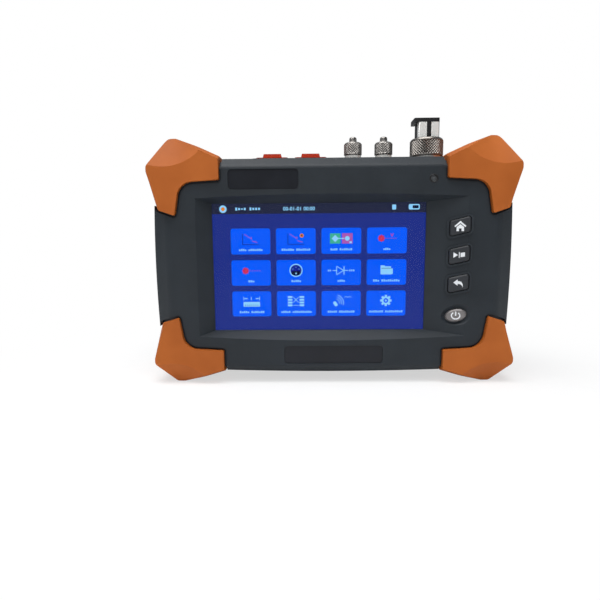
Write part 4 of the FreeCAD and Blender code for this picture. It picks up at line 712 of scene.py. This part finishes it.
def key_face(across, proud):
    """Depth of a key's face: the sloped panel's depth there, less how far the key stands proud."""
    return (FRONT_Y + (SCREEN_X + SCREEN_W + PANEL_RUN - across) * PANEL_DROP / PANEL_RUN
            - proud * math.cos(SLOPE))


def lay_on_key(parts, node, name, body):
    """Turns a drawn symbol with the slope and lays it on the face of its key."""
    low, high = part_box(node)
    symbol = joined(parts)
    symbol.rotation_euler = (0, 0, -SLOPE)
    symbol.location = (KEY_X[node] * MM, FACE_Y[node] * MM, (low.z + high.z) / 2)
    return settle(symbol, name, white_print, body)


print("slope of the keypad", round(math.degrees(SLOPE), 1), "degrees")

# %% [markdown]
# A key that stands proud of a sloped panel has its face a little to the side of its middle. The face
# could be measured on the mesh. It is worked out from the slope here, so it holds for every key.

# %% Symbols of the four keys
KEYS_ACROSS, POWER_ACROSS = 62.8, 62.2
KEY_PROUD, POWER_PROUD = 1.2, 0.1
KEY_X = dict.fromkeys(("key_home", "key_run_stop", "key_back"),
                      KEYS_ACROSS - KEY_PROUD * math.sin(SLOPE))
FACE_Y = dict.fromkeys(KEY_X, key_face(KEYS_ACROSS, KEY_PROUD))
KEY_X["key_power"] = POWER_ACROSS
FACE_Y["key_power"] = key_face(POWER_ACROSS, POWER_PROUD)
house = [flat_shape([(-2.8, 0.1), (-2.35, -0.45), (0, 1.5), (2.35, -0.45), (2.8, 0.1),
                     (0, 2.55)]),
         flat_shape([(-1.75, -0.4), (-1.75, -2.4), (-0.6, -2.4), (-0.6, -1.1), (0.6, -1.1),
                     (0.6, -2.4), (1.75, -2.4), (1.75, -0.4), (0, 1.0)])]
lay_on_key(house, "key_home", "symbol_home", "home_button")
run = [flat_shape([(-2.75, -1.4), (-2.75, 1.35), (-0.6, 0.0)]), line((0.0, -1.4), (0.0, 1.4), 0.4),
       flat_shape([(0.6, -1.05), (2.65, -0.75), (2.65, 1.35), (0.6, 1.05)])]
lay_on_key(run, "key_run_stop", "symbol_run_stop", "run_stop_button")
back = [flat_shape([(-2.4, 0.5), (-0.3, -1.1), (-0.3, -0.1), (0.9, -0.3), (1.7, -0.9),
                    (2.2, -2.0), (2.1, -0.2), (1.4, 0.9), (0.4, 1.2), (-0.3, 1.2),
                    (-0.3, 2.1)])]
lay_on_key(back, "key_back", "symbol_back", "back_button")
ARC_START, ARC_STEP, ARC_STROKES = 125, 20.7, 14
ARC_WIDE, ARC_HIGH, STROKE = 2.05, 1.75, 0.62
arc = []
for i in range(ARC_STROKES):
    a, b = (math.radians(ARC_START + ARC_STEP * end) for end in (i, i + 1))
    arc.append(line((ARC_WIDE * math.cos(a), ARC_HIGH * math.sin(a)),
                    (ARC_WIDE * math.cos(b), ARC_HIGH * math.sin(b)), STROKE))
arc.append(line((0, -0.1), (0, 2.1), STROKE))
lay_on_key(arc, "key_power", "symbol_power", "power_button")
print("symbols", len(KEY_X))

# %% [markdown]
# ## Painted shade round the lamp
# The small lamp below the ports sits in a gap that lies in shade, and a dark ring is painted shade
# there. It could be a ring cut from a tube. A torus sunk in the lamp's well by more than half is
# rounded already, so it needs no bevel.

# %% Painted shade ring round the lamp
SHADE_RING_SINK = 0.25
LAMP_AT = Vector((49.0, FRONT_Y + SHADE_RING_SINK, 102.6))
SHADE_RING_RADIUS, SHADE_RING_WIRE = 1.85, 0.45
deselect()
bpy.ops.mesh.primitive_torus_add(major_segments=48, minor_segments=12,
                                 major_radius=SHADE_RING_RADIUS * MM, minor_radius=SHADE_RING_WIRE * MM,
                                 location=LAMP_AT * MM, rotation=(math.pi / 2, 0, 0))
shade_ring = bpy.context.active_object
bpy.ops.object.shade_smooth()
# The dark ring is painted shade in the gap round the lens.
settle(shade_ring, "lamp_painted_shade_ring", black_plastic_and_painted_shade, "instrument")
print("shade_ring", len(shade_ring.data.polygons), "faces")

# %% [markdown]
# ## Knurled metal
# The caps and the coupling ring have a diamond knurl for the fingers. It could be a bump in the
# material, but then the outline would stay smooth, so it is cut in the mesh. Each piece is a lathe
# shape drawn up ring by ring. In the knurled band every other corner is drawn in towards the axis and
# each face is split between its two sunk corners, so the corners that stay become the points of small
# pyramids.

# %% A lathe and a knurling tool
def lathe(name, across, y, profile, segments):
    """Turns a (radius, height) profile in millimetres about an upright axis."""
    centre = (across * MM, y * MM, 0)
    deselect()
    radius, height = profile[0]
    bpy.ops.mesh.primitive_circle_add(vertices=segments, radius=radius * MM,
                                      fill_type="NGON",
                                      location=(centre[0], centre[1], height * MM))
    piece = bpy.context.active_object
    piece.name = name
    bpy.ops.object.transform_apply(location=True, rotation=True, scale=True)
    bpy.ops.object.mode_set(mode="EDIT")
    bpy.ops.mesh.select_all(action="SELECT")
    for next_radius, next_height in profile[1:]:
        bpy.ops.mesh.extrude_region_move(
            TRANSFORM_OT_translate={"value": (0, 0, (next_height - height) * MM)})
        grow = next_radius / radius
        bpy.ops.transform.resize(value=(grow, grow, 1),
                                 center_override=(centre[0], centre[1], next_height * MM))
        radius, height = next_radius, next_height
    bpy.ops.mesh.select_all(action="SELECT")
    bpy.ops.mesh.remove_doubles(threshold=0.000001)
    bpy.ops.mesh.normals_make_consistent(inside=False)
    bpy.ops.object.mode_set(mode="OBJECT")
    return piece


def knurl(piece, across, y, radius, low, high, count, segments, depth):
    """Sinks every other corner of a turned band, which leaves rows of pointed diamonds."""
    axis = Vector((across * MM, y * MM, 0))
    step = (high - low) / count

    def in_band(point):
        out = (Vector((point.x, point.y, 0)) - axis).length
        return abs(out - radius * MM) < (0.03 * radius + 0.5 * depth) * MM

    deselect()
    piece.select_set(True)
    bpy.context.view_layer.objects.active = piece
    bpy.ops.object.mode_set(mode="EDIT")
    bpy.ops.mesh.select_mode(type="VERT")
    bpy.ops.mesh.select_all(action="DESELECT")
    mesh = bmesh.from_edit_mesh(piece.data)
    for vertex in mesh.verts:
        row = (vertex.co.z / MM - low) / step
        turn = math.atan2(vertex.co.y - axis.y, vertex.co.x - axis.x)
        column = round(turn / (2 * math.pi) * segments)
        inner = -0.1 < row < count + 0.1 and in_band(vertex.co)
        vertex.select_set(inner and (round(row) + column) % 2 == 1)
    mesh.select_flush_mode()
    bmesh.update_edit_mesh(piece.data)
    shrink = (radius - depth) / radius
    bpy.ops.transform.resize(value=(shrink, shrink, 1),
                             center_override=(axis.x, axis.y, (low + high) / 2 * MM))
    bpy.ops.mesh.select_mode(type="FACE")
    bpy.ops.mesh.select_all(action="DESELECT")
    mesh = bmesh.from_edit_mesh(piece.data)
    for face in mesh.faces:
        centre = face.calc_center_median()
        face.select_set(len(face.verts) == 4 and low * MM < centre.z < high * MM
                        and in_band(centre))
    bmesh.update_edit_mesh(piece.data)
    bpy.ops.mesh.quads_convert_to_tris(quad_method="SHORTEST_DIAGONAL")
    bpy.ops.object.mode_set(mode="OBJECT")


def rows(radius, low, high, count):
    """Profile points up a straight band, one for each row of the knurl."""
    step = (high - low) / count
    return [(radius, low + step * i) for i in range(count + 1)]


print("lathe ready")

# %% [markdown]
# Each fibre port is closed by a metal dust cap: a smooth neck, a groove, the knurled grip and
# a small knob with a hole. The CAD cap could be knurled as it is, but a knurl needs rows of small even
# faces, so a new cap that is made with such rows replaces it. The hole is a Boolean with a cylinder,
# and the neck takes a second finish, near white: a painted reflection on the smooth metal.

# %% Dust caps
PORT_Y = 2.0
DECK = 114.8
TEST_X, LOCATOR_X, METER_X = 12.2, 28.65, 51.7
CAP_RADIUS, CAP_SIDES, CAP_ROWS, CAP_SINK = 4.85, 44, 8, 0.26
CAP_LOW, CAP_HIGH = DECK + 4.2, DECK + 9.2
NECK_TOP = DECK + 3.27
KNOB_HOLE, KNOB_HOLE_TURN = 0.7, math.radians(20)
for name, node, body, across in (
        ("test_cap_knurled", "test_cap", "test_dust_cap", TEST_X),
        ("locator_cap_knurled", "locator_cap", "locator_dust_cap", LOCATOR_X)):
    profile = ([(0.2, DECK + 8.8), (4.12, DECK + 8.8), (4.12, DECK + 2.0), (4.4, DECK + 2.0),
                (4.45, DECK + 2.1), (4.45, DECK + 3.2), (4.2, DECK + 3.3), (4.2, DECK + 3.75),
                (4.7, DECK + 3.8), (4.8, DECK + 4.0)] +
               rows(CAP_RADIUS, CAP_LOW, CAP_HIGH, CAP_ROWS) +
               [(4.6, DECK + 9.5), (4.2, DECK + 10.0), (3.3, DECK + 10.35),
                (2.1, DECK + 10.5), (2.0, DECK + 10.8), (1.95, DECK + 12.3),
                (1.75, DECK + 12.85), (1.3, DECK + 13.1), (0.4, DECK + 13.2)])
    cap = lathe(name, across, PORT_Y, profile, CAP_SIDES)
    knurl(cap, across, PORT_Y, CAP_RADIUS, CAP_LOW, CAP_HIGH, CAP_ROWS, CAP_SIDES, CAP_SINK)
    deselect()
    bpy.ops.mesh.primitive_cylinder_add(vertices=20, radius=KNOB_HOLE * MM, depth=12 * MM,
                                        location=(across * MM, PORT_Y * MM,
                                                  (DECK + 12.1) * MM),
                                        rotation=(math.pi / 2, 0, KNOB_HOLE_TURN))
    drill = bpy.context.active_object
    deselect()
    cap.select_set(True)
    bpy.context.view_layer.objects.active = cap
    hole = cap.modifiers.new("hole", "BOOLEAN")
    hole.object = drill
    hole.operation = "DIFFERENCE"
    hole.solver = "EXACT"
    bpy.ops.object.modifier_apply(modifier="hole")
    bpy.data.objects.remove(drill)
    shade_by_angle(cap)
    settle(cap, name, cap_nickel, body)
    cap.data.materials.append(neck_nickel_painted_reflection)
    # Faces below NECK_TOP take the near-white neck finish, a painted reflection.
    for face in cap.data.polygons:
        face.material_index = int(face.center.z < NECK_TOP * MM)
    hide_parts(node)
    print(name, len(cap.data.polygons), "faces")

# %% [markdown]
# A wide knurled ring turns round the third port and locks its head. It is open at both ends, so it
# could be a lathe shape about an empty middle. The lathe here always closes its ends, so the two end
# faces are deleted and the open edges bridged, which makes the inner wall.

# %% Coupling ring
RING_RADIUS, RING_SIDES, RING_ROWS, RING_SINK = 8.8, 72, 10, 0.42
RING_LOW, RING_HIGH = DECK + 3.2, DECK + 10.2
profile = ([(7.98, DECK + 9.4), (7.98, DECK + 2.2), (8.3, DECK + 2.2), (8.6, DECK + 2.4),
            (8.65, DECK + 3.0)] + rows(RING_RADIUS, RING_LOW, RING_HIGH, RING_ROWS) +
           [(8.65, DECK + 10.5), (8.3, DECK + 11.2), (7.8, DECK + 11.6), (7.4, DECK + 11.55),
            (7.38, DECK + 9.4)])
ring = lathe("coupling_ring_knurled", METER_X, PORT_Y, profile, RING_SIDES)
bpy.ops.object.mode_set(mode="EDIT")
mesh = bmesh.from_edit_mesh(ring.data)
ends = [face for face in mesh.faces if len(face.verts) > 8]
bmesh.ops.delete(mesh, geom=ends, context="FACES_ONLY")
bmesh.update_edit_mesh(ring.data)
bpy.ops.mesh.select_mode(type="EDGE")
bpy.ops.mesh.select_all(action="DESELECT")
mesh = bmesh.from_edit_mesh(ring.data)
for edge in mesh.edges:
    edge.select_set(edge.is_boundary)
bmesh.update_edit_mesh(ring.data)
bpy.ops.mesh.bridge_edge_loops()
bpy.ops.mesh.select_all(action="SELECT")
bpy.ops.mesh.normals_make_consistent(inside=False)
bpy.ops.object.mode_set(mode="OBJECT")
knurl(ring, METER_X, PORT_Y, RING_RADIUS, RING_LOW, RING_HIGH, RING_ROWS, RING_SIDES, RING_SINK)
shade_by_angle(ring)
settle(ring, "coupling_ring_knurled", ring_nickel, "lock_ring")
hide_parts("coupling_ring")
print("ring", len(ring.data.polygons), "faces")

# %% [markdown]
# ## The square receptacle
# The plated head of the meter port is near white on its front, a painted reflection of bright
# surroundings, and black down each side, painted shade on its side walls. The shade could be strips
# laid over it, but they would add an edge that the real one lacks. So a merged copy of the CAD head is
# bisected beside each shaded side, and the faces outside the cuts get the black as painted shade.

# %% Receptacle with painted shade down its sides
def cad_copy(node, name):
    """A merged copy of a CAD node's mesh, to be shaped further."""
    copy = nodes[node].copy()
    copy.data = nodes[node].data.copy()
    copy.name = name
    scene.collection.objects.link(copy)
    deselect()
    copy.select_set(True)
    bpy.context.view_layer.objects.active = copy
    bpy.ops.object.mode_set(mode="EDIT")
    bpy.ops.mesh.select_all(action="SELECT")
    bpy.ops.mesh.remove_doubles(threshold=0.000002)
    bpy.ops.object.mode_set(mode="OBJECT")
    return copy


SHADED_SIDES = ((METER_X - 5.4, -1), (METER_X + 5.1, 1))
SHADE_BACK = PORT_Y - 1.6
SHADE_FOOT = DECK + 4.0
head = cad_copy("meter_head", "meter_head_painted_shade")
for across, side in SHADED_SIDES:
    bpy.ops.object.mode_set(mode="EDIT")
    bpy.ops.mesh.select_all(action="SELECT")
    bpy.ops.mesh.bisect(plane_co=(across * MM, 0, 0), plane_no=(1, 0, 0))
    bpy.ops.mesh.select_all(action="SELECT")
    bpy.ops.mesh.bisect(plane_co=(0, SHADE_BACK * MM, 0), plane_no=(0, 1, 0))
    bpy.ops.object.mode_set(mode="OBJECT")
settle(head, "meter_head_painted_shade", polished_nickel, "instrument")
head.data.materials.append(black_plastic_and_painted_shade)
# The black on the faces outside the cuts is painted shade on the side walls.
for face in head.data.polygons:
    centre = face.center
    behind = centre.y > SHADE_BACK * MM
    outside = any((centre.x / MM - across) * side > 0 and (behind or side > 0)
                  for across, side in SHADED_SIDES)
    face.material_index = int(outside and centre.z > SHADE_FOOT * MM)
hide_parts("meter_head")
print("head", len(head.data.polygons), "faces")

# %% [markdown]
# ## Floor and light
# The instrument stands on a pale sheet of paper. A real studio lights the paper until it looks white,
# which would also light the instrument. Here the paper glows to the camera alone, more so away from
# the instrument, so that a soft shadow stays close to it.

# %% Paper floor
FLOOR_SIZE, FLOOR_BACK = 6.0, 1.0
SHADOW_NEAR, SHADOW_FAR = 0.08, 0.22
deselect()
bpy.ops.mesh.primitive_plane_add(size=FLOOR_SIZE, location=(0, FLOOR_BACK, 0))
floor = bpy.context.active_object
floor.name = "floor"
floor_material, tree, shader = new_material("floor_paper")
fibre = pattern(tree, 40.0, 4.0, 0.6)
tint = ramp(tree, fibre, 0.3, 0.7, (0.86, 0.86, 0.86), (0.9, 0.9, 0.9))
tree.links.new(tint.outputs["Color"], shader.inputs["Base Color"])
shader.inputs["Roughness"].default_value = 0.9
shader.inputs["Specular IOR Level"].default_value = 0.1
rays = tree.nodes.new("ShaderNodeLightPath")
place = tree.nodes.new("ShaderNodeTexCoord")
middle_of_floor = tree.nodes.new("ShaderNodeMapping")
middle_of_floor.inputs["Location"].default_value = (0, FLOOR_BACK, 0)
away = tree.nodes.new("ShaderNodeVectorMath")
away.operation = "LENGTH"
fade = tree.nodes.new("ShaderNodeMapRange")
fade.interpolation_type = "SMOOTHSTEP"
fade.inputs["From Min"].default_value = SHADOW_NEAR
fade.inputs["From Max"].default_value = SHADOW_FAR
fade.inputs["To Min"].default_value = 0.62
fade.inputs["To Max"].default_value = 1.0
share = tree.nodes.new("ShaderNodeMath")
share.operation = "MULTIPLY"
paper_white = tree.nodes.new("ShaderNodeEmission")
paper_white.inputs["Color"].default_value = (1, 1, 1, 1)
blend = tree.nodes.new("ShaderNodeMixShader")
tree.links.new(place.outputs["Object"], middle_of_floor.inputs["Vector"])
tree.links.new(middle_of_floor.outputs["Vector"], away.inputs[0])
tree.links.new(away.outputs["Value"], fade.inputs["Value"])
tree.links.new(rays.outputs["Is Camera Ray"], share.inputs[0])
tree.links.new(fade.outputs["Result"], share.inputs[1])
tree.links.new(share.outputs[0], blend.inputs["Fac"])
tree.links.new(shader.outputs[0], blend.inputs[1])
tree.links.new(paper_white.outputs[0], blend.inputs[2])
tree.links.new(blend.outputs[0], tree.nodes["Material Output"].inputs["Surface"])
floor.data.materials.append(floor_material)
print("floor", FLOOR_SIZE, "m wide")

# %% [markdown]
# The surroundings light the instrument from all sides and show behind it. They could be one white,
# but that would wash out the dark case. So they are a dim cool grey for every ray except those that
# reach the camera straight or through the clear sheet, which see white.

# %% Surroundings
world = bpy.data.worlds.new("studio")
world.use_nodes = True
scene.world = world
tree = world.node_tree
tree.nodes.clear()
rays = tree.nodes.new("ShaderNodeLightPath")
seen = tree.nodes.new("ShaderNodeMath")
seen.operation = "MAXIMUM"
plain = tree.nodes.new("ShaderNodeBackground")
plain.inputs["Color"].default_value = (0.9, 0.95, 1.0, 1)
plain.inputs["Strength"].default_value = 0.32
white = tree.nodes.new("ShaderNodeBackground")
white.inputs["Color"].default_value = (1, 1, 1, 1)
white.inputs["Strength"].default_value = 1.0
mix = tree.nodes.new("ShaderNodeMixShader")
out = tree.nodes.new("ShaderNodeOutputWorld")
tree.links.new(rays.outputs["Is Camera Ray"], seen.inputs[0])
tree.links.new(rays.outputs["Is Transmission Ray"], seen.inputs[1])
tree.links.new(seen.outputs[0], mix.inputs["Fac"])
tree.links.new(plain.outputs[0], mix.inputs[1])
tree.links.new(white.outputs[0], mix.inputs[2])
tree.links.new(mix.outputs[0], out.inputs["Surface"])
print("surroundings", world.name)

# %% [markdown]
# A wide soft lamp hangs over the instrument, with a weaker one in front. One small lamp would give hard
# shadows and sharp lights on the rubber. A large area lamp gives the soft ones of a light tent.

# %% Lamps
LAMPS_AIM = (0, 0, 0.06)


def lamp(name, at, size, watts):
    """A rectangular area lamp, aimed at the instrument."""
    light = bpy.data.lights.new(name, "AREA")
    light.shape = "RECTANGLE"
    light.size, light.size_y = size
    light.energy = watts
    holder = bpy.data.objects.new(name, light)
    scene.collection.objects.link(holder)
    holder.location = at
    aim = Vector(LAMPS_AIM) - Vector(at)
    holder.rotation_euler = aim.to_track_quat("-Z", "Y").to_euler()
    print(name, watts, "W")


lamp("overhead_soft", (-0.12, -0.22, 0.85), (0.9, 0.45), 8.4)
lamp("front_fill", (-0.35, -1.0, 0.9), (0.7, 0.5), 2.0)
